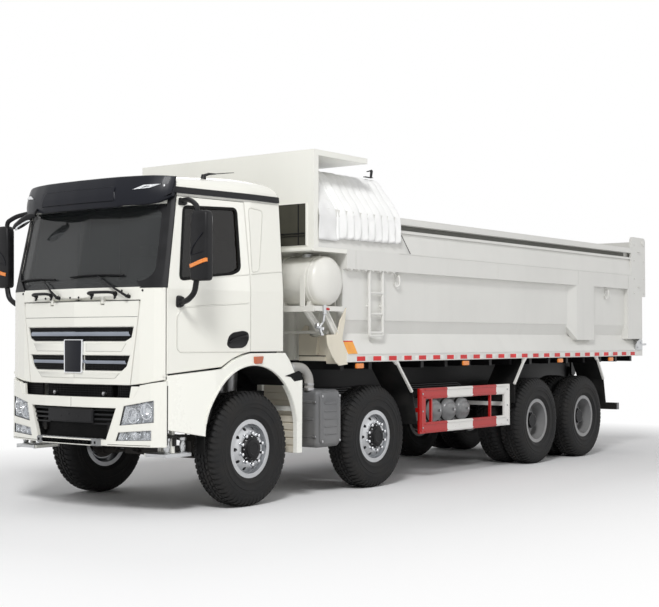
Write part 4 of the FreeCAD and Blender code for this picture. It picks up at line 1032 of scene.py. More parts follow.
def makeSideTrim():
    form, strip, lip = Form(), Form(), Form()
    line = stepped(roundedLine(quarter["pressing"], 0.04) + quarter["pressing"][:1], 0.08)[:-1]
    form.band([cabSide(y, z, -0.0005) for y, z in line], 0.009, 0.0035, (1, 0, 0.06), True)
    form.band([cabSide(y, z, -0.0005) for y, z in quarter["belt"]], 0.012, 0.004, (1, 0, 0.06))
    piece("quarterPressing", form.mirrored(), "cabWhite", "cab", 0, (), 25)
    z, front, steps = gutterStrip["z"], gutterStrip["front"], gutterStrip["steps"]
    path = [(0.985, -1.00, z), (1.012, -0.945, z)]
    path += [cabSide(front + (gutterStrip["rear"] - front) * i / steps, z, 0.001) for i in range(steps + 1)]
    x, y, z = path[-1]
    lip.band([(px + 0.002, py, z - 0.028) for px, py, _ in path], 0.010, 0.017, (1, 0, 0.05))
    path += [(x - 0.014, y + 0.032, z), (x - 0.06, 0.449, z)]
    strip.band(path, gutterStrip["tall"], gutterStrip["thick"], (1, 0, 0.05))
    piece("gutterStrips", strip.mirrored(), "blackPlastic", "cab", 0.003)
    piece("gutterLips", lip.mirrored(), "visorBlack", "cab", 0.002)


def makeRoof():
    half = list(cabPlan(cabForm["gutter"]))[1:]
    plan = roundedLine(half + [(-x, y) for x, y in reversed(half)], 0.07, True, 4)
    middle = roof["middle"]
    rows = []
    for z, inset in roof["levels"]:
        # the dome falls towards the visor
        fall = [0.055 * max(0.0, (-0.35 - y) / 0.75) * max(0.0, z - 3.06) / 0.16 for x, y in plan]
        rows.append([(x * (1 - inset / roof["wide"]), middle + (y - middle) * (1 - inset / roof["long"]),
                      z - drop)
                     for (x, y), drop in zip(plan, fall)])
    piece("roofSkin", Form().rings(rows), "cabWhite", "cab", 0, ("cab_roof",), 30)
    seams = Form()
    for y in roof["seams"]:
        seams.band([(x, y, 3.222 - 0.02 * (abs(x) / 0.6) ** 3) for x in (-0.6, -0.4, -0.2, 0, 0.2, 0.4, 0.6)],
                   0.05, 0.010, (0, 0, 1))
    ring = roundedLine(rectangle(-0.34, 0.34, -0.26, 0.02), 0.07)
    seams.rings([[(x, y, 3.220) for x, y in ring],
                 [(x * 0.97, (y + 0.12) * 0.97 - 0.12, 3.245) for x, y in ring]])
    piece("roofHatch", seams, "cabWhite", "cab", 0.003)
    mast = Form()
    mast.rod((0.93, -0.46, 3.15), (0.93, -0.45, 3.222), 0.034, 16, 0.022)
    mast.tube([(0.93, -0.47, 3.205), (0.93, -0.38, 3.236), (0.932, -0.28, 3.246)], [0.016, 0.013, 0.006], 8)
    mast.tube([(0.932, -0.30, 3.244), (0.935, -0.02, 3.285)], [0.005, 0.003], 8)
    piece("aerial", mast, "blackPlastic", "cab")


def visorFace(x, z, out=0.0):
    plan = visorForm["plan"]
    x = clamp(x, -visorForm["half"], visorForm["half"])
    for (xa, ya), (xb, yb) in zip(plan, plan[1:]):
        if abs(x) <= xb:
            y = ya + (yb - ya) * (abs(x) - xa) / (xb - xa)
            break
    back = max(0.0, z - visorForm["bend"])
    low = max(0.0, 2.93 - z)
    return (x, y + visorForm["lean"] * back * (0.35 + 2.2 * back) + 1.2 * low * low - out, z)


def makeVisor():
    rows = []
    for i in range(-30, 31):
        x = visorForm["half"] * math.sin(math.pi / 2 * i / 30) if abs(i) > 20 else 0.885 * i / 20.0
        far = max(0.0, (abs(x) - 0.80) / 0.222)
        low = visorForm["low"] + 0.030 * min(far, 1) ** 1.2 + 0.13 * max(0.0, far - 0.35) ** 2.2
        if abs(x) < 0.56:
            low -= 0.012 * min(1.0, (0.56 - abs(x)) / 0.03)
        high = visorForm["high"] - 0.012 * min(far, 1) ** 2
        roofEdge = cabFront(min(abs(x), 0.99), 2.985)[1] + 0.014
        heights = [low + 0.008, low + 0.03, 2.96, 3.0, 3.04, 3.09, high - 0.024, high - 0.007]
        front = [visorFace(x, max(height, low + 0.008 + 0.004 * k)) for k, height in enumerate(heights)]
        under = front[0][1]
        rows.append([(x, under + 0.006, low)] + front + [
            (x, visorFace(x, high)[1] + 0.012, high), (x, roofEdge, high + 0.001), (x, roofEdge, high - 0.03),
            (x, max(front[2][1] + 0.06, roofEdge - 0.02), high - 0.06), (x, under + 0.045, low + 0.03),
            (x, under + 0.036, low)])
    piece("sunVisor", Form().rings(rows), "visorBlack", "cab", 0, ("visor",), 32)
    low, high = visorForm["panel"]
    outline = dense(roundedLine([(-0.53, low), (0.53, low), (0.49, high), (-0.49, high)], 0.03), 0.06)
    top = [(x * 0.975, 2.998 + (z - 2.998) * 0.92) for x, z in outline]
    panel = Form().laid(visorFace, [(outline, -0.002), (top, 0.007)], False)
    heights = (2.934, 2.96, 2.985, 3.0, 3.02, 3.04, 3.064)
    panel.rings([[visorFace(-0.506 + 1.012 * i / 32, z, 0.0071) for z in heights] for i in range(33)], False,
                False)
    piece("visorPanel", panel, "visorBlack", "cab", 0, (), 40)
    shape = stepped(visorForm["lamp"], 0.03)[:-1]
    seat = Form().laid(visorFace, [(grown(shape, 0.010), -0.002), (grown(shape, 0.006), 0.004)])
    piece("visorLampSeats", seat.mirrored(), "blackPlastic", "cab", 0.001)
    piece("visorLamps", Form().slab(visorFace, shape, 0.0, 0.009).mirrored(), "whiteLens", "cab", 0.002)
    screws = Form()
    for x in (0.965, -0.965):
        screws.bolt(visorFace(x, 3.06), (0.6 * x, -1, 0.2), 0.011, 0.005, 10)
    piece("visorScrews", screws, "steel", "cab")


def makeMirrors(side):
    (x0, x1), (y0, y1), (z0, z1) = mirror["x"], mirror["y"], mirror["z"]
    head, strip, crease, panes = Form(), Form(), Form(), Form()
    rows = []
    for share, inset in mirror["levels"]:
        bulge = 0.010 * (1 - abs(share - 0.5) * 2)
        front, back = y0 + inset * 0.7, y1 - inset * 0.3
        inner, outer = x0 + inset + 0.012 * max(0.0, (share - 0.6) / 0.4), x1 - inset
        corners = [(inner, front + 0.008), ((x0 + x1) / 2, front - bulge * 0.2), (outer, front + 0.010),
                   (outer, back), (inner, back)]
        plan = roundedLine(corners, mirror["round"], True, 4)
        rows.append([(x, y, z0 + (z1 - z0) * share) for x, y in plan])
    head.rings(rows)
    for path, thick, rise in ((mirror["lowerArm"], 0.027, 0.02), (mirror["upperArm"], 0.024, -0.02)):
        head.tube(roundedLine(path, 0.05, False, 4), thick, 10)
        x, y, z = path[-1]
        head.rod((x, y, z), (x, y, z + rise), thick + 0.008, 14)
    for outline, corner, (along, up), share in mirror["feet"]:
        foot = roundedLine(outline, corner)
        small = [(along + (y - along) * share, up + (z - up) * 0.8) for y, z in foot]
        head.laid(cabSide, [(foot, -0.001), (small, 0.030)])
    path = [(1.305, -1.032, 2.300), (1.36, -1.0395, 2.312), (1.42, -1.041, 2.330), (1.468, -1.035, 2.345)]
    strip.band(path, 0.036, 0.007, (0, -1, 0))
    strip.band([(1.466, -1.035, 2.345), (1.489, -1.026, 2.352), (1.4985, -1.008, 2.354)], 0.034, 0.003,
               (0.7, -0.7, 0))
    path = [(1.312, -1.032, 2.41), (1.335, -1.036, 2.47), (1.462, -1.035, 2.60)]
    crease.band(roundedLine(path, 0.03, False), 0.010, 0.004, (0, -1, 0))
    crease.band([(1.31, -1.031, 2.40), (1.39, -1.039, 2.415), (1.465, -1.034, 2.43)], 0.008, 0.003,
                (0, -1, 0))
    for low, high in mirror["panes"]:
        panes.slab(alongPlane(y1), roundedLine(rectangle(x0 + 0.024, x1 - 0.018, low, high), 0.03), -0.004,
                   0.003)
    doorPiece("mirrorHead", head, "blackPlastic", side, 35, ("mirror_" + side,))
    doorPiece("mirrorStrip", strip, "amberLens", side, 35)
    doorPiece("mirrorCrease", crease, "visorBlack", side, 35)
    doorPiece("mirrorPanes", panes, "mirrorGlass", side, 35)


def makeLookDownMirror():
    spy, pane = Form(), Form()
    spy.tube([(-0.63, -1.18, 2.93), (-0.615, -1.225, 2.895), (-0.60, -1.24, 2.862), (-0.68, -1.25, 2.845),
              (-0.78, -1.255, 2.800), (-0.87, -1.255, 2.765), (-0.934, -1.25, 2.739)],
             [0.013, 0.013, 0.020, 0.036, 0.040, 0.030, 0.008], 14)
    piece("lookDownMirror", spy, "blackPlastic", "cab", 0, (), 40)
    turns = [math.tau * i / 16 for i in range(16)]
    pane.rings([[(-0.775 + 0.11 * math.cos(turn), -1.254 + 0.030 * math.sin(turn),
                  2.804 + 0.11 * math.cos(turn) * 0.38 - drop) for turn in turns] for drop in (0.028, 0.043)])
    piece("lookDownPane", pane, "mirrorGlass", "cab")


def makeLining():
    # dark cloth inside the cab, on the back wall and the rear corners
    form = Form()
    form.box(-1.10, 1.10, 0.372, 0.386, 1.52, 2.95)
    form.box(-1.115, -1.10, 0.05, 0.38, 1.52, 2.2)
    form.box(1.10, 1.115, 0.05, 0.38, 1.52, 2.2)
    piece("backLining", form, "seatCloth", "cab", 0.004)


makeLining()
for sideName in sides:
    makeDoorTrim(sideName)
    makeMirrors(sideName)
makeSideTrim()
makeRoof()
makeVisor()
makeLookDownMirror()
print("cab sides and roof dressed")

# bumper and front lamps
bumperPlan = [(0, -1.330), (0.35, -1.312), (0.592, -1.272), (0.69, -1.254), (0.96, -1.187), (1.04, -1.135),
              (1.075, -1.085)]
frontLamps = [
    {"outline": [(0.68, 1.013), (0.985, 1.070), (0.985, 0.868), (0.632, 0.833)],
     "cups": [(0.752, 0.925, 0.066), (0.892, 0.968, 0.070), (0.795, 0.988, 0.020)], "deep": 0.10},
    {"outline": [(0.62, 0.768), (0.965, 0.795), (0.965, 0.704), (0.59, 0.69)],
     "cups": [(0.672, 0.730, 0.030), (0.790, 0.742, 0.034), (0.900, 0.748, 0.030)], "deep": 0.07},
]
# the intake's half widths at two heights, then its slats as (height, thickness)
intake = {"low": (0.696, 0.481, 0.482), "high": (0.992, 0.592, 0.594), "deep": 0.10, "slatEnd": 0.30,
          "slats": ((0.968, 0.020), (0.925, 0.022), (0.882, 0.022), (0.840, 0.018)), "wires": 15}
blankPlate = {"half": 0.315, "low": 0.846, "high": 0.980}
bumperStep = {"half": 0.425, "front": -1.352, "rear": -1.268, "low": 0.636, "high": 0.706, "studs": 16}
midSlot = {"spans": [(-0.455, 0.455), (0.53, 0.80), (-0.80, -0.53)], "pitch": 0.022,
           "end": [(0.755, 1.196), (0.80, 1.196), (0.85, 1.196), (0.85, 1.04), (0.79, 1.04), (0.725, 1.04)]}


def bumperFace(x, z, out=0.0):
    for (xa, ya), (xb, yb) in zip(bumperPlan, bumperPlan[1:]):
        if abs(x) <= xb:
            return (x, ya + (yb - ya) * (abs(x) - xa) / (xb - xa) - out, z)
    return (x, bumperPlan[-1][1] - out, z)


def dish(form, x, y, z, radius, profile, steps=20):
    # a round form facing forward, from a profile of (share of the radius, distance forward)
    turns = [math.tau * i / steps for i in range(steps)]
    form.rings([[(x + radius * share * math.cos(turn), y - ahead, z + radius * share * math.sin(turn))
                 for turn in turns] for share, ahead in profile])


def makeLampBowl(form, outline, deep):
    # facets that step back towards the middle, each a little turned
    count = 9
    depths = [0.018 + (deep - 0.03) * (k / count) ** 0.6 for k in range(count + 1)]
    for k in range(count):
        near = scaled(outline, (1.0 - 0.5 * k / count) * 0.97)
        far = scaled(outline, (1.0 - 0.5 * (k + 1) / count) * 0.97)
        form.rings([[bumperFace(x, z, -depths[k]) for x, z in near],
                    [bumperFace(x, z, -depths[k + 1] + (0.006 if (i + k) % 2 else 0))
                     for i, (x, z) in enumerate(far)]], True, False)
    form.laid(bumperFace, [(scaled(outline, 0.52), -deep), (scaled(outline, 0.50), -deep + 0.006)])


def makeLamps():
    frames, bowls, cups, bulbs, backs, covers = [Form() for _ in range(6)]
    for lamp in frontLamps:
        outline, deep = dense(lamp["outline"], 0.05), lamp["deep"]
        frames.laid(bumperFace, [(outline, -0.004), (scaled(outline, 0.965), -0.008),
                                 (scaled(outline, 0.955), -0.030), (outline, -0.030)], False, True)
        makeLampBowl(bowls, outline, deep)
        backs.slab(bumperFace, outline, -deep - 0.020, -deep - 0.010)
        covers.laid(bumperFace, [(scaled(outline, 0.975), -0.016), (scaled(outline, 0.965), -0.011)])
        front = deep * 0.66
        for x, z, radius in lamp["cups"]:
            y = bumperFace(x, z)[1] + deep * 0.98
            dish(cups, x, y, z, radius, ((0.30, 0.0), (0.62, 0.016), (0.86, front * 0.6), (1.0, front),
                                         (1.10, front + 0.002), (1.10, front - 0.012), (0.92, front * 0.45),
                                         (0.35, -0.004)))
            dish(bulbs, x, y, z, radius, ((0.34, -0.002), (0.34, front * 0.35), (0.24, front * 0.62),
                                          (0.08, front * 0.7)))
        topIn, topOut, lowOut, lowIn = [Vector(point) for point in lamp["outline"]]
        for k in range(4):
            share = 0.12 + 0.24 * k
            low, high = lowIn.lerp(lowOut, share), topIn.lerp(topOut, share + 0.05)
            bowls.band([bumperFace(*low.lerp(high, t), -deep * 0.55) for t in (0.06, 0.5, 0.94)], 0.010,
                       0.012, (0, -1, 0))
    for name, form, look, stands in (("lampFrames", frames, "blackPlastic", ()),
                                     ("lampBowls", bowls, "reflector", ("headlamps",)),
                                     ("lampCups", cups, "chrome", ()), ("lampBulbs", bulbs, "whiteLens", ()),
                                     ("lampBacks", backs, "darkRubber", ()),
                                     ("lampCovers", covers, "lampGlass", ())):
        piece(name, form.mirrored(), look, "chassis", 0, stands, 20)


def curvedSheet(form, left, right, low, high, near, far, steps):
    # a sheet between two depths behind the bumper's face; left and right may differ from bottom to top
    rows = []
    for z, x0, x1 in ((low, left[0], right[0]), (high, left[1], right[1])):
        xs = [x0 + (x1 - x0) * k / steps for k in range(steps + 1)]
        rows.append([bumperFace(x, z, -near) for x in xs] + [bumperFace(x, z, -far) for x in reversed(xs)])
    form.rings(rows)


def makeIntake():
    back, net, fins, plate = Form(), Form(), Form(), Form()
    deep = intake["deep"]
    (low, edgeLow, halfLow), (high, edgeHigh, halfHigh) = intake["low"], intake["high"]
    rows = []
    for z in (0.690, 1.000):
        half = halfLow + (halfHigh - halfLow) * (z - low) / 0.296
        line = [bumperFace(half * k / 6, z, -deep) for k in range(-6, 7)]
        rows.append(line + [(x, y + 0.012, z) for x, y, z in reversed(line)])
    back.rings(rows)
    for sign in (1, -1):
        corners = ((0.484, 0.700, -0.036), (0.594, 0.988, -0.036), (0.594, 0.988, -deep - 0.005),
                   (0.484, 0.700, -deep - 0.005))
        back.rings([[bumperFace((x + thick) * sign, z, out) for x, z, out in corners]
                    for thick in (0, 0.012)])
    back.forward(rectangle(-0.62, 0.62, 0.989, 1.000), -1.245, -1.17)
    piece("intakeBack", back, "darkRubber", "chassis")
    for k in range(intake["wires"]):
        z = 0.715 + 0.009 * k
        half = 0.475 + 0.375 * (z - low)
        net.band([bumperFace(half * i / 6, z, -deep + 0.002) for i in range(-6, 7)], 0.003, 0.004, (0, -1, 0))
    piece("intakeMesh", net, "blackPlastic", "chassis")
    for z, tall in intake["slats"]:
        edge = edgeLow + (edgeHigh - edgeLow) * (z - low) / 0.296
        for sign in (1, -1):
            left, right = sorted((intake["slatEnd"] * sign, (edge + 0.004) * sign))
            fins.rings([[bumperFace(x, z - tall * 0.2, -0.024), bumperFace(x, z + tall * 0.5, -0.030),
                         bumperFace(x, z + tall * 0.5, -0.040), bumperFace(x, z - tall * 0.5, -0.040)]
                        for x, _ in stepped([(left, z), (right, z)], 0.08)])
    piece("intakeFins", fins, "blackPlastic", "chassis", 0.0015)
    half, low, high = blankPlate["half"], blankPlate["low"], blankPlate["high"]
    for inset, near, far in ((0, 0.014, 0.032), (0.012, 0.009, 0.02)):
        curvedSheet(plate, [inset - half] * 2, [half - inset] * 2, low + inset, high - inset, near, far, 8)
    for x, z in ((-0.12, 0.902), (0.0, 0.925), (0.12, 0.902)):
        plate.bolt(bumperFace(x, z, -0.009), (0, -1, 0), 0.008, 0.004, 10)
    piece("plateHolder", plate, "blackPlastic", "chassis", 0.002)


def makeBumperStep():
    form, studs, seams = Form(), Form(), Form()
    half, front, rear = bumperStep["half"], bumperStep["front"], bumperStep["rear"]
    low, high, count = bumperStep["low"], bumperStep["high"], bumperStep["studs"]
    face = front + 0.002
    form.sideways([(face, low + 0.008), (face, high - 0.014), (face + 0.014, high - 0.001),
                   (rear, high - 0.001), (rear, low), (face + 0.02, low)], -half, half)
    piece("stepPad", form, "greyPlastic", "chassis", 0.004)
    for k in range(count):
        x = -half + 0.03 + (2 * half - 0.06) * k / (count - 1)
        for y in (front + 0.035, front + 0.062):
            studs.rod((x, y, high - 0.003), (x, y, high + 0.004), 0.011, 10, 0.008)
        studs.box(x - 0.011, x + 0.011, front + 0.0005, front + 0.006, low + 0.022, high - 0.024)
    piece("stepStuds", studs, "darkRubber", "chassis")
    seams.band([bumperFace(0.04, z, 0.0003) for z in (0.996, 1.03, 1.085)], 0.003, 0.001, (0, -1, 0))
    for line in ((0.5, 0.592, 0.69, 0.8, 0.96), (-0.96, -0.8, -0.69, -0.592, -0.5)):
        seams.band([bumperFace(x, 0.655, 0.0005) for x in line], 0.004, 0.001, (0, -1, 0))
    piece("bumperSeams", seams, "darkRubber", "chassis")


def slotFace(x, z, out):
    return (x, -1.183 + 0.09 * max(0.0, abs(x) - 0.5) - out, z)


def makeMidSlot():
    # dark mesh in the gap between the bumper and the lid
    back, net, bolts = Form(), Form(), Form()
    pitch = midSlot["pitch"]
    for left, right in midSlot["spans"]:
        line = [left + (right - left) * k / 6 for k in range(7)]
        back.rings([[slotFace(x, z, 0) for x in line] + [slotFace(x, z, -0.012) for x in reversed(line)]
                    for z in (1.02, 1.255)])
        for k in range(int((right - left) / pitch)):
            x = left + 0.011 + pitch * k
            net.band([slotFace(x, 1.06, 0.004), slotFace(x, 1.245, 0.004)], 0.004, 0.004, (0, -1, 0))
        for k in range(9):
            net.band([slotFace(x, 1.065 + pitch * k, 0.005) for x in line], 0.004, 0.004, (0, -1, 0))
    piece("slotBacks", back, "darkRubber", "chassis")
    ends = Form().slab(bumperFace, midSlot["end"], -0.040, -0.003)
    piece("slotEnds", ends.mirrored(), "cabWhite", "chassis", 0.004)
    piece("slotMesh", net, "blackPlastic", "chassis")
    for x in (-0.33, 0.36):
        bolts.rod((x, -1.185, 1.12), (x, -1.215, 1.12), 0.018, 12)
        bolts.bolt((x, -1.215, 1.12), (0, -1, 0), 0.012, 0.008, 6)
    piece("slotBolts", bolts, "steel", "chassis")


makeLamps()
makeIntake()
makeBumperStep()
makeMidSlot()
print("bumper and lamps dressed")

# front wheel arches and steps
arch = {"radius": 0.647, "thick": 0.006, "y": -0.02, "z": 0.72, "inner": 0.80, "outer": 1.196, "from": 44,
        "to": 168, "lip": 0.668}
fender = {"face": 1.2135, "lamp": [(-0.030, 1.463), (0.109, 1.467), (0.084, 1.393), (-0.022, 1.390)],
          "notch": [(0.447, 1.264), (0.665, 1.312), (0.722, 1.285), (0.722, 1.218), (0.592, 1.207),
                    (0.536, 1.250)]}
mudFlap = {"x": (0.70, 1.16), "y": (0.712, 0.722), "z": (0.47, 1.16), "ribs": 9}
# castings are (place along, low), their sections (height above low, half width, half depth)
castings = [(-0.800, 0.560), (-1.010, 0.560)]
castSections = [(0, 0.042, 0.030), (0.018, 0.042, 0.030), (0.030, 0.026, 0.020), (0.055, 0.036, 0.024),
                (0.098, 0.036, 0.024), (0.118, 0.024, 0.020), (0.132, 0.044, 0.030), (0.162, 0.044, 0.030)]
tread = {"x": (0.79, 1.055), "y": (-1.082, -0.742), "z": (0.538, 0.574), "slats": 11}


def makeArches():
    form, seam, lip = Form(), Form(), Form()
    rows = []
    for k in range(41):
        angle = math.radians(arch["from"] + (arch["to"] - arch["from"]) * k / 40)
        inner, outer = arch["radius"] - (0.006 if k % 5 == 2 else 0.0), arch["radius"] + arch["thick"]
        corners = ((outer, arch["inner"]), (outer, arch["outer"]), (inner, arch["outer"]),
                   (inner, arch["inner"]))
        rows.append([(x, arch["y"] + radius * math.cos(angle), arch["z"] + radius * math.sin(angle))
                     for radius, x in corners])
    form.rings(rows)
    form.sideways([(-0.676, 0.55), (-0.660, 0.55), (-0.655, 0.86), (-0.672, 0.86)], 1.06, 1.15)
    piece("archLiners", form.mirrored(), "darkRubber", "chassis", 0, (), 20)
    face, outline = acrossPlane(fender["face"]), fender["lamp"]
    levels = ((1, -0.006), (0.97, 0.010), (0.85, 0.014))
    lamp = Form().laid(face, [(roundedLine(scaled(outline, share) if share < 1 else outline, 0.012), out)
                              for share, out in levels])
    piece("fenderLamps", lamp.mirrored(), "orangeLens", "chassis", 0, (), 30)
    notch = Form().slab(face, fender["notch"], -0.006, 0.0028)
    piece("fenderGaps", notch.mirrored(), "darkRubber", "chassis")
    seam.box(1.066, 1.0765, -1.087, -1.078, 0.66, 1.205)
    piece("fenderSeams", seam.mirrored(), "darkRubber", "chassis")
    path = []
    for degrees in range(8, 173, 6):
        y = arch["y"] + arch["lip"] * math.cos(math.radians(degrees))
        x = 1.0715 + (1.2 - 1.0715) * min(1, (y + 1.085) / 0.525) + 0.0125 * max(0, (y + 0.56) / 1.3)
        path.append((x, y, arch["z"] + arch["lip"] * math.sin(math.radians(degrees))))
    lip.band(path, 0.020, 0.010, (1, 0, 0))
    # the lips take the fenders' paint with painted light
    piece("archLips", lip.mirrored(), "fenderWhite", "chassis", 0, (), 25)


def makeMudFlaps():
    form = Form()
    (x0, x1), (y0, y1), (z0, z1) = mudFlap["x"], mudFlap["y"], mudFlap["z"]
    form.box(x0, x1, y0 + 0.012, y1 + 0.014, z0, z1)
    pitch = (z1 - z0) / mudFlap["ribs"]
    for k in range(mudFlap["ribs"]):
        form.box(x0 + 0.006, x1 - 0.006, y0, y0 + 0.014, z0 + pitch * k + 0.006, z0 + pitch * (k + 1) - 0.006)
    # the flaps take the beige with painted light
    piece("mudFlaps", form.mirrored(), "brightBeige", "chassis", 0.004)


def makeSteps():
    cast, bracket, slats = Form(), Form(), Form()
    x = 0.995
    turns = [math.tau * i / 14 for i in range(14)]
    for y, low in castings:
        cast.rings([[(x + deep * math.cos(turn), y + wide * math.sin(turn), low + up) for turn in turns]
                    for up, wide, deep in castSections])
        cast.bolt((x + 0.022, y, low + 0.076), (1, 0, 0), 0.013, 0.010, 6)
    piece("stepCastings", cast.mirrored(), "castAlloy", "chassis", 0, (), 30)
    bracket.box(0.955, 1.030, -1.045, -0.765, 0.716, 0.740)
    bracket.box(0.83, 1.03, -0.945, -0.915, 0.640, 0.716)
    piece("stepBrackets", bracket.mirrored(), "frameBlack", "chassis", 0.003)
    (x0, x1), (y0, y1), (z0, z1) = tread["x"], tread["y"], tread["z"]
    for x in (x0, x1 - 0.012):
        slats.box(x, x + 0.012, y0, y1, z0, z1)
    for k in range(tread["slats"]):
        y = y0 + 0.012 + (y1 - y0 - 0.024) * k / (tread["slats"] - 1)
        slats.sideways([(y - 0.010, z0 + 0.006), (y + 0.010, z0 + 0.006), (y + 0.012, z1 - 0.006),
                        (y - 0.004, z1 + 0.004), (y - 0.012, z1 - 0.004)], x0 + 0.004, x1 - 0.004)
    piece("stepTreads", slats.mirrored(), "castAlloy", "chassis", 0.002)


makeArches()
makeMudFlaps()
makeSteps()
print("arches and steps dressed")

# load box trim: places are (y, z), outlines across are (x, z)
skirt = {"front": 1.616, "rear": 8.90, "pitch": 0.30, "long": 0.15, "low": 1.399, "high": 1.448,
         "face": 1.250, "bend": 1.470, "rise": 0.225, "lean": 0.115}
markers = [1.672, 3.846, 6.288, 7.855]
stays = [((2.372, 1.392), (2.690, 1.035)), ((5.331, 1.402), (5.039, 1.062)), ((7.399, 1.397), (7.621, 1.064))]
ropeHooks = [2.445, 7.812]
cleats = {"from": 1.52, "to": 2.32, "count": 7, "z": 2.388}
handle = {"y": (1.88, 2.13), "low": 1.670, "high": 1.745}
# welds are (place across, height, stops along, width, thickness)
welds = [(1.2505, 1.471, (1.46, 4.0, 6.5, 8.9), 0.008, 0.002),
         (1.1885, 1.842, (1.46, 4.0, 6.55), 0.010, 0.003),
         (1.2505, 2.594, (2.42, 4.5, 6.5, 8.55), 0.010, 0.002)]
postWelds = [1.60, 4.62, 6.82, 8.46]
gateLatch = {"pin": (8.972, 3.095),
             "outline": [(8.70, 1.475), (8.92, 1.475), (8.92, 1.62), (8.84, 1.64), (8.74, 1.60),
                         (8.70, 1.55)]}
headWindow = {"half": 1.146, "low": 2.605, "high": 3.040, "face": 0.865,
              "bars": [(2.731, 0.012), (2.705, 0.006)],
              "posts": (-0.76, -0.38, 0, 0.38, 0.76, 1.05, -1.05)}
bracketPlate = [(0.634, 1.458), (0.634, 1.702), (0.718, 1.785), (0.761, 1.777), (0.778, 1.671),
                (0.863, 1.656), (1.006, 1.686), (1.160, 1.695), (1.210, 1.570), (1.225, 1.480),
                (1.225, 1.372), (1.012, 1.370), (1.006, 1.400), (0.634, 1.400)]
sidePlate = [(1.100, 1.677), (1.277, 1.685), (1.331, 1.833), (1.440, 1.970), (1.415, 1.819), (1.366, 1.640),
             (1.455, 1.484), (1.462, 1.366), (1.319, 1.354), (1.245, 1.397), (1.172, 1.479), (1.112, 1.582)]


def skirtPoint(y, z, out):
    # on the sloping lower panel of the box side
    if z <= skirt["bend"]:
        return (skirt["face"] + out, y, z)
    share = (z - skirt["bend"]) / skirt["rise"]
    return (skirt["face"] - skirt["lean"] * share + out * 0.89, y, z + out * 0.45)


def makeTapes():
    red, white = Form(), Form()
    pitch, long, face, last = skirt["pitch"], skirt["long"], skirt["face"] - 0.001, skirt["rear"] + 0.02
    heights = skirt["low"], skirt["high"]
    for k in range(int((skirt["rear"] - skirt["front"]) / pitch) + 1):
        y = skirt["front"] + pitch * k
        if y + long < last:
            red.box(face, face + 0.0026, y, y + long, *heights)
        if y + pitch < last:
            white.box(face, face + 0.0022, y + long, y + pitch, *heights)
    piece("redTapes", red.mirrored(), "redTape", "bed")
    piece("whiteTapes", white.mirrored(), "whiteTape", "bed")
    for name, low, high, look in (("sideReflectors", 1.477, 1.604, "orangeTape"),
                                  ("sideReflectorEdges", 1.604, 1.616, "redTape")):
        form = Form().slab(skirtPoint, rectangle(1.462, 1.632, low, high), -0.001, 0.003)
        piece(name, form.mirrored(), look, "bed")


def makeMarkers():
    lampPart, seat = Form(), Form()
    for y in markers:
        seat.box(1.205, 1.246, y - 0.075, y + 0.075, 1.376, 1.392)
        outline = roundedLine(rectangle(y - 0.072, y + 0.072, 1.318, 1.376), 0.016)
        seat.sideways(outline, 1.210, 1.236)
        lampPart.laid(acrossPlane(0), [(scaled(outline, 0.95), 1.235), (scaled(outline, 0.93), 1.252),
                                       (scaled(outline, 0.78), 1.258)])
    piece("markerSeats", seat.mirrored(), "blackPlastic", "bed", 0.002)
    piece("markerLamps", lampPart.mirrored(), "amberLens", "bed", 0, (), 30)


def makeStays():
    form = Form()
    foot = 1.392
    for (ya, za), (yb, zb) in stays:
        way = Vector((0, yb - ya, zb - za)).normalized()
        form.band([(1.225, ya, za), (1.225, yb, zb)], 0.030, 0.026, (1, 0, 0))
        form.sideways([(ya - 0.05, foot), (ya + 0.05, foot), (ya + 0.03 + way.y * 0.09, foot + way.z * 0.09),
                       (ya - 0.03 + way.y * 0.06, foot + way.z * 0.06)], 1.216, 1.240)
        for share in (0.22, 0.52, 0.80):
            form.bolt((1.250, ya + (yb - ya) * share, za + (zb - za) * share), (1, 0, 0), 0.010, 0.006, 6)
    piece("flapStays", form.mirrored(), "boxWhite", "bed", 0.002)


def makeSideFittings():
    # rope hooks, cleats under the rail and the grab handle, on the left side only
    form = Form()
    for y in ropeHooks:
        hook = [(1.188, y, 2.352), (1.228, y, 2.345), (1.238, y, 2.290), (1.232, y, 2.235),
                (1.205, y - 0.03, 2.222), (1.205, y - 0.045, 2.262)]
        form.tube(roundedLine(hook, 0.016, False, 3), 0.013, 8)
        form.box(1.186, 1.196, y - 0.035, y + 0.035, 2.29, 2.38)
    z = cleats["z"]
    for k in range(cleats["count"]):
        y = cleats["from"] + (cleats["to"] - cleats["from"]) * k / (cleats["count"] - 1)
        form.sideways([(y - 0.03, z), (y + 0.03, z), (y + 0.008, z - 0.022)], 1.190, 1.249)
    (front, rear), low, high = handle["y"], handle["low"], handle["high"]
    for y in (front, rear):
        form.box(1.180, 1.226, y - 0.009, y + 0.009, 2.018, 2.028)
    path = [(1.226, front, high), (1.226, front, low), (1.226, rear, low), (1.226, rear, high)]
    form.tube(roundedLine(path, 0.062, False, 5), 0.017, 10)
    piece("sideFittings", form, "boxWhite", "bed", 0, (), 35)


def makeSideLines():
    lines, groove = Form(), Form()
    for x, z, stops, wide, thick in welds:
        lines.band([(x, y, z) for y in stops], wide, thick, (1, 0, 0))
    for y in postWelds:
        lines.band([(1.2505, y, 2.398), (1.2505, y, 2.585)], 0.007, 0.002, (1, 0, 0))
    piece("sideWelds", lines.mirrored(), "boxWhite", "bed", 0, (), 30)
    # a grey strip of painted shade at the back of the groove under the top rail
    groove.box(1.178, 1.1825, 2.40, 8.436, 2.872, 2.922)
    piece("railGroovePaintedShade", groove.mirrored(), "grooveGrey", "bed")


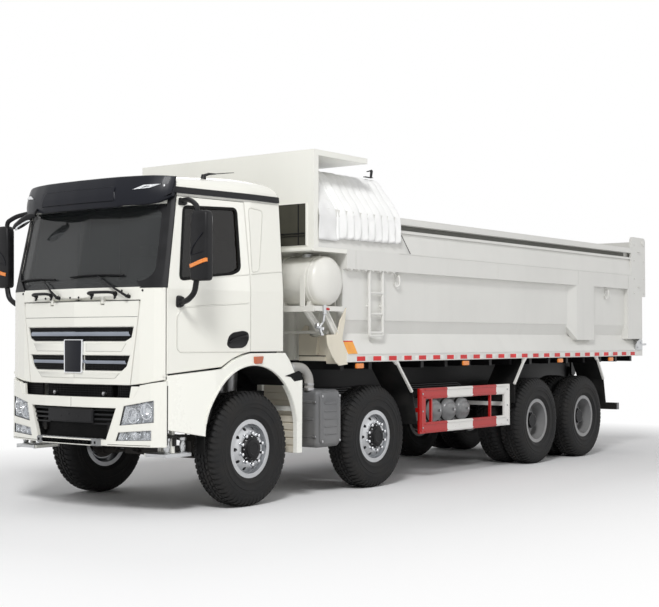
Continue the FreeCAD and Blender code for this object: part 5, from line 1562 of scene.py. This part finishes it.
def makeGateFittings():
    ears, latch = Form(), Form()
    for z in (2.33, 2.55, 2.82, 3.06):
        for y in (8.66, 9.00):
            ears.bolt((1.250, y, z), (1, 0, 0), 0.014, 0.010, 6)
    for z in (2.42, 2.95):
        loop = [(1.248, 8.78, z), (1.275, 8.78, z), (1.275, 8.84, z), (1.248, 8.84, z)]
        ears.tube(roundedLine(loop, 0.012, False, 3), 0.008, 8)
    ears.turned([(1.248, 0.0), (1.248, 0.045), (1.262, 0.045), (1.268, 0.034), (1.268, 0.0)],
                *gateLatch["pin"], 24, False)
    piece("earBolts", ears.mirrored(), "boxWhite", "bed", 0, (), 30)
    latch.sideways(gateLatch["outline"], 1.238, 1.262)
    for y, z in ((8.75, 1.52), (8.86, 1.585)):
        latch.bolt((1.262, y, z), (1, 0, 0), 0.018, 0.012, 6)
    latch.rod((1.252, 8.90, 1.555), (1.252, 9.055, 1.56), 0.016, 12)
    piece("gateLatches", latch.mirrored(), "castAlloy", "bed", 0.003)


def makeHeadboard():
    half, low, high, face = headWindow["half"], headWindow["low"], headWindow["high"], headWindow["face"]
    dark, bars = Form(), Form()
    # a dark panel of painted shade fills the window, for the shaded inside of the box behind it
    dark.box(-half, half, face - 0.0035, face + 0.002, low, high)
    piece("headWindowPaintedShade", dark, "windowDark", "bed")
    for z, tall in headWindow["bars"]:
        bars.box(-half, half, face - 0.012, face - 0.002, z - tall / 2, z + tall / 2)
    for x in headWindow["posts"]:
        bars.box(x - 0.006, x + 0.006, face - 0.010, face - 0.003, low, high)
    piece("headBars", bars, "frameBlack", "bed", 0.001)
    outline = rectangle(-half, half, low, high)
    levels = [(grown(outline, 0.022), 0.001), (grown(outline, 0.020), -0.012),
              (grown(outline, 0.002), -0.012), (outline, 0.001)]
    rim = Form().laid(alongPlane(face), levels, False, True)
    rim.box(-1.246, 1.246, 0.845, 0.868, 2.548, 2.572)
    # the rim takes the headboard paint with painted light
    piece("headRim", rim, "headWhite", "bed", 0.002)


def makeBrackets():
    form, slit = Form(), Form()
    form.forward(bracketPlate, 1.386, 1.402)
    form.sideways(sidePlate, 1.226, 1.242)
    form.forward(rectangle(0.66, 1.005, 1.40, 1.447), 1.366, 1.388)
    for x in (0.90, 1.10):
        form.sideways([(1.33, 1.47), (1.388, 1.47), (1.388, 1.66), (1.365, 1.64)], x, x + 0.012)
    # the brackets take the beige with painted light
    piece("bedBrackets", form.mirrored(), "brightBeige", "bed", 0.003)
    slit.box(0.636, 1.004, 1.3835, 1.3865, 1.449, 1.459)
    piece("bracketSlits", slit.mirrored(), "darkRubber", "bed")


makeTapes()
makeMarkers()
makeStays()
makeSideFittings()
makeSideLines()
makeGateFittings()
makeHeadboard()
makeBrackets()
print("load box dressed")

# oil tank with its shelf and valve, intake pipe, filter
oilTank = {
    "y": 1.148, "z": 2.243, "radius": 0.262, "inner": 0.665, "outer": 1.285, "straps": [0.735, 1.085],
    "dome": [(0.0, 0.0), (0.004, 0.28), (0.013, 0.52), (0.029, 0.72), (0.050, 0.87), (0.073, 0.955),
             (0.092, 0.99), (0.104, 1.0)],
    "shelf": (0.360, 1.240, 0.890, 1.365, 1.940, 1.975),
    "channels": [((1.105, 0.890, 1.945), (1.105, 1.110, 1.735)),
                 ((1.184, 1.085, 1.945), (1.184, 1.285, 1.692))],
    "saddle": [(0.975, 1.970), (1.285, 1.970), (1.27, 2.035), (1.20, 2.002), (1.06, 2.002), (0.99, 2.035)],
}
# rods are (start, end, radius, facets), bolts (centre, axis, radius, height)
valve = {
    "rods": [((1.262, 1.030, 1.990), (1.262, 1.030, 1.905), 0.020, 14),
             ((1.262, 1.030, 1.915), (1.255, 1.020, 1.815), 0.013, 12),
             ((1.245, 1.030, 1.815), (1.225, 0.985, 1.748), 0.011, 10),
             ((1.205, 0.965, 1.765), (1.225, 1.040, 1.738), 0.020, 12),
             ((1.225, 1.000, 1.735), (1.235, 1.015, 1.690), 0.015, 10)],
    "bolts": [((1.262, 1.030, 1.905), (0, 0, -1), 0.027, 0.016),
              ((1.215, 0.965, 1.772), (0, -1, 0.2), 0.030, 0.018),
              ((1.225, 1.040, 1.742), (0.6, 0.6, -0.2), 0.028, 0.018),
              ((1.238, 1.018, 1.690), (0, 0, -1), 0.022, 0.02)],
}
intakePipe = {
    "path": [(1.03, 0.44, 1.325), (1.03, 0.80, 1.345), (1.03, 0.965, 1.335), (1.03, 1.062, 1.235),
             (1.03, 1.062, 1.095)],
    "radius": 0.050,
    "clamps": [((1.03, 1.062, 1.150), (1.03, 1.062, 1.172), 0.055),
               ((1.03, 1.062, 1.098), (1.03, 1.062, 1.122), 0.060),
               ((1.03, 0.735, 1.3415), (1.03, 0.757, 1.3425), 0.055)],
}
filterBox = {"x": (0.66, 1.18), "y": (1.02, 1.425), "z": (0.50, 1.105)}


def makeOilTank():
    form, shelf, fittings, lever, cap = [Form() for _ in range(5)]
    y, z, r, x0, x1 = [oilTank[key] for key in ("y", "z", "radius", "inner", "outer")]
    profile = [(x0 + out, r * share) for out, share in oilTank["dome"]]
    profile += [(x1 - 0.150, r), (x1 - 0.148, r + 0.004), (x1 - 0.134, r + 0.004), (x1 - 0.132, r)]
    profile += [(x1 - out, r * share) for out, share in reversed(oilTank["dome"][:-1])]
    form.turned(profile, y, z, 64, False).joinClose()
    left, right, front, rear, low, high = oilTank["shelf"]
    shelf.box(*oilTank["shelf"])
    shelf.box(left, right, front - 0.012, front, low - 0.022, high + 0.006)
    shelf.box(right, right + 0.008, front, rear, low - 0.015, high + 0.004)
    shelf.box(0.360, 0.430, 1.010, 1.330, 1.080, 1.945)
    shelf.box(0.42, 1.10, 1.275, 1.315, 1.690, 1.725)
    for strap in oilTank["straps"]:
        form.turned([(strap - 0.022, r - 0.002), (strap - 0.022, r + 0.005), (strap + 0.022, r + 0.005),
                     (strap + 0.022, r - 0.002)], y, z, 64)
        for edge in (y - r - 0.002, y + r + 0.002):
            shelf.box(strap - 0.030, strap + 0.030, edge - 0.008, edge + 0.008, 1.970, 2.300)
        shelf.sideways(oilTank["saddle"], strap - 0.025, strap + 0.025)
    for start, end in oilTank["channels"]:
        shelf.band([start, end], 0.062, 0.036, (1, 0, 0))
        shelf.band([(x + 0.030, along + 0.02, up) for x, along, up in (start, end)], 0.012, 0.030, (1, 0, 0))
    piece("oilTank", form, "tankCream", "chassis", 0, ("hydraulic_tank",), 30)
    piece("tankShelf", shelf, "tankCream", "chassis", 0.003)
    for rod in valve["rods"]:
        fittings.rod(*rod)
    for bolt in valve["bolts"]:
        fittings.bolt(*bolt)
    piece("tankValve", fittings, "castAlloy", "chassis", 0, (), 30)
    lever.tube([(1.266, 1.030, 1.950), (1.276, 1.058, 1.948), (1.278, 1.085, 1.945)], [0.011, 0.014, 0.013],
               10)
    piece("valveHandle", lever, "redPaint", "chassis")
    cap.rod((0.95, 1.130, 2.494), (0.95, 1.130, 2.522), 0.045, 24, 0.042)
    cap.rod((0.95, 1.130, 2.520), (0.95, 1.130, 2.532), 0.050, 24)
    piece("tankCap", cap, "castAlloy", "chassis", 0.002)


def makeIntakePipe():
    pipe, clamps = Form(), Form()
    pipe.tube(roundedLine(intakePipe["path"], 0.10, False, 6), intakePipe["radius"], 24)
    piece("intakePipe", pipe, "pipeGrey", "chassis", 0, (), 40)
    for start, end, radius in intakePipe["clamps"]:
        clamps.rod(start, end, radius, 24)
    piece("pipeClamps", clamps, "steel", "chassis", 0.001)


def makeFilterBox():
    (x0, x1), (y0, y1), (z0, z1) = filterBox["x"], filterBox["y"], filterBox["z"]
    form, bolts = Form(), Form()
    outline = roundedLine(rectangle(y0 + 0.028, y1 - 0.028, z0 + 0.028, z1 - 0.028), 0.07)
    form.laid(acrossPlane(x1), [(outline, -0.012), (outline, 0.010), (scaled(outline, 0.95), 0.020),
                                (scaled(outline, 0.72), 0.021), (scaled(outline, 0.68), 0.015)])
    for k in range(5):
        z = z0 + 0.14 + 0.08 * k
        form.box(x1 + 0.012, x1 + 0.020, y0 + 0.10, y1 - 0.10, z - 0.008, z + 0.008)
    for z in (0.62, 0.80, 0.98):
        form.box(x0 + 0.05, x1 - 0.06, y0 - 0.007, y0 + 0.004, z - 0.014, z + 0.014)
    piece("filterCover", form, "gunGrey", "chassis", 0.003)
    for y, z in scaled(rectangle(y0 + 0.03, y1 - 0.03, z0 + 0.03, z1 - 0.03), 0.86):
        bolts.bolt((x1 + 0.019, y, z), (1, 0, 0), 0.015, 0.010, 6)
    for z in (0.62, 0.98):
        bolts.rod((x1 - 0.05, y0 - 0.012, z), (x1 - 0.02, y0 - 0.012, z), 0.010, 10)
    piece("filterBolts", bolts, "steel", "chassis")


makeOilTank()
makeIntakePipe()
makeFilterBox()
print("tank, pipe and filter dressed")

# side guards, air tanks, chassis fittings and the rear
guard = {"front": 2.889, "rear": 4.956, "face": 1.215, "rails": [(0.545, 0.671), (0.940, 1.066)]}
airTank = {"places": [3.52, 3.84, 4.16], "z": 0.783, "radius": 0.135, "inner": 0.44, "outer": 1.072,
           "dome": [(0.0, 0.0), (0.004, 0.35), (0.014, 0.62), (0.030, 0.82), (0.050, 0.94), (0.070, 0.99),
                    (0.078, 1.0)]}
rearAxles = [5.675, 7.025]
steeredAxles = [0.0, 2.10]
chamber = [(0.20, 0.0), (0.20, 0.055), (0.215, 0.078), (0.26, 0.084), (0.262, 0.092), (0.276, 0.092),
           (0.278, 0.084), (0.33, 0.078), (0.345, 0.05), (0.345, 0.0)]
underrun = {"rear": 8.640, "low": 0.588, "high": 0.672, "lamp": (0.62, 0.97)}
gateTape = {"from": -1.17, "red": 0.146, "pitch": 0.2925, "count": 8, "z": (1.425, 1.475)}
steering = {"centre": (0.51, -0.455, 2.085), "lean": 55, "radius": 0.215, "facets": 36}


def makeGuards():
    form, bolts = Form(), Form()
    face, front, rear = guard["face"], guard["front"], guard["rear"]
    for low, high in guard["rails"]:
        for z in (low + 0.020, high - 0.020):
            form.box(face - 0.001, face + 0.009, front + 0.10, rear - 0.10, z - 0.007, z + 0.007)
    for y in (front + 0.02, rear - 0.034):
        form.box(face - 0.001, face + 0.009, y, y + 0.014, guard["rails"][0][0] + 0.02,
                 guard["rails"][1][1] - 0.02)
    piece("guardRibs", form.mirrored(), "guardPaint", "chassis", 0.003)
    for y in (front + 0.06, rear - 0.06):
        for z in (0.61, 0.80, 1.00):
            bolts.bolt((face, y, z), (1, 0, 0), 0.012, 0.008, 6)
    piece("guardBolts", bolts.mirrored(), "steel", "chassis")


def makeAirTanks():
    form, straps, fittings = Form(), Form(), Form()
    z, r, x0, x1 = [airTank[key] for key in ("z", "radius", "inner", "outer")]
    profile = [(x0 + out, r * share) for out, share in airTank["dome"]]
    profile += [(x1 - out, r * share) for out, share in reversed(airTank["dome"])]
    for y in airTank["places"]:
        form.turned(profile, y, z, 48, False)
        for x in (x0 + 0.12, x1 - 0.115):
            straps.turned([(x - 0.016, r - 0.001), (x - 0.016, r + 0.004), (x + 0.016, r + 0.004),
                           (x + 0.016, r - 0.001)], y, z, 40)
            straps.box(x - 0.014, x + 0.014, y - 0.012, y + 0.012, z + r, z + r + 0.03)
        fittings.rod((x1 - 0.004, y, z), (x1 + 0.014, y, z), 0.016, 12)
        fittings.bolt((x1 + 0.012, y, z), (1, 0, 0), 0.020, 0.012, 6)
        fittings.rod((x1 - 0.20, y, z - r - 0.016), (x1 - 0.20, y, z - r + 0.004), 0.012, 10)
    form.joinClose()
    piece("airTankShells", form, "tankGrey", "chassis", 0, ("air_tanks",), 35)
    piece("airTankStraps", straps, "frameBlack", "chassis")
    piece("airTankFittings", fittings, "steel", "chassis", 0, (), 30)


def makeFuelTank():
    form, cap = Form(), Form()
    outline = roundedLine(rectangle(-1.175, -0.57, 0.47, 1.03), 0.10)
    outer = grown(outline, 0.005)
    for y in (3.26, 4.06):
        form.laid(alongPlane(y), [(outline, -0.025), (outer, -0.025), (outer, 0.025), (outline, 0.025)],
                  False)
    cap.rod((-1.02, 3.62, 1.026), (-1.02, 3.62, 1.052), 0.055, 24)
    cap.rod((-1.02, 3.62, 1.050), (-1.02, 3.62, 1.075), 0.047, 24, 0.043)
    piece("fuelTankStraps", form, "steel", "chassis", 0, (), 35)
    piece("fuelCap", cap, "blackPlastic", "chassis", 0.002)


def makeSpringClamps():
    # U-bolts: axles, half spread, foot, top, radius, then plates as (half length, low, high)
    form = Form()
    groups = ((rearAxles, 0.085, 0.47, 0.80, 0.011, [(0.11, 0.780, 0.798), (0.11, 0.462, 0.480)]),
              (steeredAxles, 0.075, 0.46, 0.77, 0.010, [(0.10, 0.452, 0.468)]))
    for axles, spread, foot, top, radius, plates in groups:
        for y in axles:
            for x in (0.345, 0.415):
                for along in (y - spread, y + spread):
                    form.rod((x, along, foot), (x, along, top), radius, 8)
            for half, low, high in plates:
                form.box(0.325, 0.435, y - half, y + half, low, high)
    piece("springClamps", form.mirrored(), "ironGrey", "chassis")


def makeBrakes():
    cans, pipes = Form(), Form()
    for y in rearAxles:
        cans.turned(chamber, y - 0.21, 0.60, 28, False)
        cans.rod((0.345, y - 0.21, 0.60), (0.47, y - 0.16, 0.585), 0.012, 8)
    piece("brakeChambers", cans.mirrored(), "frameBlack", "chassis", 0, (), 35)
    for z in (1.07, 1.045, 1.02):
        path = [(0.474, 1.50, z), (0.474, 3.10, z), (0.474, 4.90, z), (0.474, 5.02, z - 0.06),
                (0.474, 7.60, z - 0.06)]
        pipes.tube(roundedLine(path, 0.05, False, 4), 0.006, 8)
    piece("brakePipes", pipes.mirrored(), "gunGrey", "chassis", 0, (), 40)


def makeTailLamps():
    back, low, high = underrun["rear"], underrun["low"], underrun["high"]
    inner, outer = underrun["lamp"]
    third = (outer - inner) / 3
    lampSeat = Form().box(inner - 0.008, outer + 0.008, back - 0.002, back + 0.006, low - 0.004, high + 0.004)
    piece("tailLampSeats", lampSeat.mirrored(), "blackPlastic", "chassis", 0.001)
    for k, (name, look) in enumerate((("White", "whiteLens"), ("Red", "redLens"), ("Amber", "amberLens"))):
        left = inner + third * k
        outline = roundedLine(rectangle(left + 0.004, left + third - 0.004, low, high), 0.012)
        form = Form().laid(alongPlane(back), [(outline, 0.005), (scaled(outline, 0.98), 0.014),
                                              (scaled(outline, 0.88), 0.018)])
        piece("tailLamps" + name, form.mirrored(), look, "chassis", 0, (), 30)


def makeRear():
    back, low, high = underrun["rear"], underrun["low"], underrun["high"]
    outline = roundedLine(rectangle(-0.24, 0.24, low + 0.004, high - 0.004), 0.01)
    piece("rearPlate", Form().slab(alongPlane(back), outline, -0.001, 0.005), "whiteTape", "chassis")
    outer, inner = rectangle(8.562, 8.638, 0.582, 0.678), rectangle(8.576, 8.624, 0.596, 0.664)
    ends = Form().laid(acrossPlane(1), [(outer, 0), (outer, 0.004), (inner, 0.004)])
    piece("underrunEnds", ends.mirrored(), "gunGrey", "chassis")
    red, white, hooks = Form(), Form(), Form()
    for k in range(gateTape["count"]):
        x = gateTape["from"] + gateTape["pitch"] * k
        red.box(x, x + gateTape["red"], 9.016, 9.0196, *gateTape["z"])
        white.box(x + gateTape["red"], x + gateTape["pitch"], 9.016, 9.0192, *gateTape["z"])
    piece("gateTapesRed", red, "redTape", "tailgate")
    piece("gateTapesWhite", white, "whiteTape", "tailgate")
    for x in (0.72, 0.18):
        hooks.box(x - 0.035, x + 0.035, 8.94, 9.012, 1.405, 1.425)
    piece("gateStops", hooks.mirrored(), "boxWhite", "tailgate", 0.003)


def makeSteeringWheel():
    centre, lean = Vector(steering["centre"]), math.radians(steering["lean"])
    across, up = Vector((1, 0, 0)), Vector((0, math.cos(lean), math.sin(lean)))
    axis = across.cross(up)
    wheel = Form()

    def onWheel(turn, radius):
        return tuple(centre + (across * math.cos(turn) + up * math.sin(turn)) * radius)

    def onAxis(out):
        return tuple(centre + axis * out)

    count = steering["facets"]
    wheel.tube([onWheel(math.tau * i / count, steering["radius"]) for i in range(count)], 0.015, 10, True)
    for angle in (0, 180, 270):
        wheel.rod(onAxis(0.02), onWheel(math.radians(angle), 0.212), 0.013, 8)
    wheel.rod(onAxis(-0.012), onAxis(0.04), 0.062, 24, 0.07)
    wheel.rod(onAxis(0.03), onAxis(0.22), 0.032, 12)
    piece("steeringWheel", wheel, "blackPlastic", "cab", 0, (), 40)


makeGuards()
makeAirTanks()
makeFuelTank()
makeSpringClamps()
makeBrakes()
makeTailLamps()
makeRear()
makeSteeringWheel()
print("chassis fittings made")

# seats: each pad has its centre, its half sizes, its channels across, its crown and whether it stands up
seat = {"x": 0.51, "lean": 0.14, "around": 40, "up": 18}
pads = {
    "seatCushion": ((-0.10, 1.905), (0.245, 0.215, 0.072), (-0.45, 0.45), 0.30, False),
    "seatBack": ((0.165, 2.235), (0.235, 0.066, 0.300), (-0.45, 0.0, 0.45), 0.25, True),
    "headRest": ((0.215, 2.575), (0.115, 0.042, 0.062), (), 0.2, True),
}
# the frame under each seat: half width, then y and z from and to
seatFrames = [(0.20, -0.28, 0.16, 1.512, 1.60), (0.13, -0.20, 0.10, 1.60, 1.80),
              (0.22, -0.28, 0.14, 1.79, 1.845)]


def powered(value, power):
    return math.copysign(abs(value) ** power, value)


def cushion(channels, crown):
    # a crowned closed form: its sides pull in between the corners, and sewn channels run across its face
    rows = []
    for j in range(seat["up"] + 1):
        tilt = math.pi * (j / seat["up"] - 0.5)
        wide, high = abs(math.cos(tilt)) ** 0.45, powered(math.sin(tilt), 0.55)
        row = []
        for i in range(seat["around"]):
            turn = math.tau * i / seat["around"]
            x, y = powered(math.cos(turn), 0.42) * wide, powered(math.sin(turn), 0.42) * wide
            pinch = 1 - 0.035 * math.cos(2 * turn) ** 2 * (1 - abs(high))
            groove = sum(math.exp(-((x - channel) / 0.035) ** 2) for channel in channels)
            groove *= max(0.0, high) * 0.10
            swell = 1 + crown * (1 - x * x) * (1 - y * y)
            row.append((x * pinch, y * pinch, high * swell - groove))
        rows.append(row)
    return rows


def makeSeat(side, middle):
    for name, ((y0, z0), (rx, ry, rz), channels, crown, upright) in pads.items():
        rows = []
        for row in cushion(channels, crown):
            if upright:
                rows.append([(middle + x * rx, y0 - z * ry + y * rz * seat["lean"], z0 + y * rz)
                             for x, y, z in row])
            else:
                rows.append([(middle + x * rx, y0 + y * ry, z0 + z * rz) for x, y, z in row])
        stands = ("seats",) if (side, name) == ("left", "seatCushion") else ()
        made = piece(name + side.capitalize(), Form().rings(rows), "seatCloth", "cab", 0, stands, 60)
    form = Form()
    for half, *reach in seatFrames:
        form.box(middle - half, middle + half, *reach)
    for x in (middle - 0.06, middle + 0.06):
        form.rod((x, 0.200, 2.46), (x, 0.212, 2.55), 0.008, 8)
    piece("seatBase" + side.capitalize(), form, "dashGrey", "cab", 0.006)


for seatSide, seatSign in sides.items():
    makeSeat(seatSide, seatSign * seat["x"])
print("seats made")


# floor and background: both fade to plain white where the camera sees them far from the truck
def makeFloor():
    half = stage["half"]
    mesh = bpy.data.meshes.new("floor")
    mesh.from_pydata([(x, y, 0) for x, y in rectangle(-half, half, -half, half)], [], [(0, 1, 2, 3)])
    floor = bpy.data.objects.new("floor", mesh)
    scene.collection.objects.link(floor)
    shader = newShader("floorPaint")
    mottle = shader.noise(0.8, 4.0)
    shader.set(Base_Color=shader.mix(mottle, shade(stage["colour"]), shade(stage["colour"], 0.985)),
               Roughness=mottle * 0.1 + 0.85, Specular_IOR_Level=0.1)
    across, along = shader.axes()[:2]
    wide, long = stage["truck"]
    near, far = stage["clear"]
    distance = (across.size() - wide).most(along.size() - long)
    away = shader.node("ShaderNodeMapRange", {}, {0: distance, 1: near, 2: far})
    white = shader.node("ShaderNodeEmission", {}, {"Color": (1, 1, 1, 1), "Strength": 1.0})
    shader.whiteWhereSeen(white, away, "Material Output")
    mesh.materials.append(shader.owner)


def makeWorld():
    world = bpy.data.worlds.new("studio")
    scene.world = world
    shader = Shader(world, "Background")
    shader.set(Color=(1, 1, 1, 1), Strength=stage["world"])
    plain = shader.node("ShaderNodeBackground", {}, {"Color": (1, 1, 1, 1)})
    shader.whiteWhereSeen(plain, None, "World Output")


makeFloor()
makeWorld()
print("floor and background set")
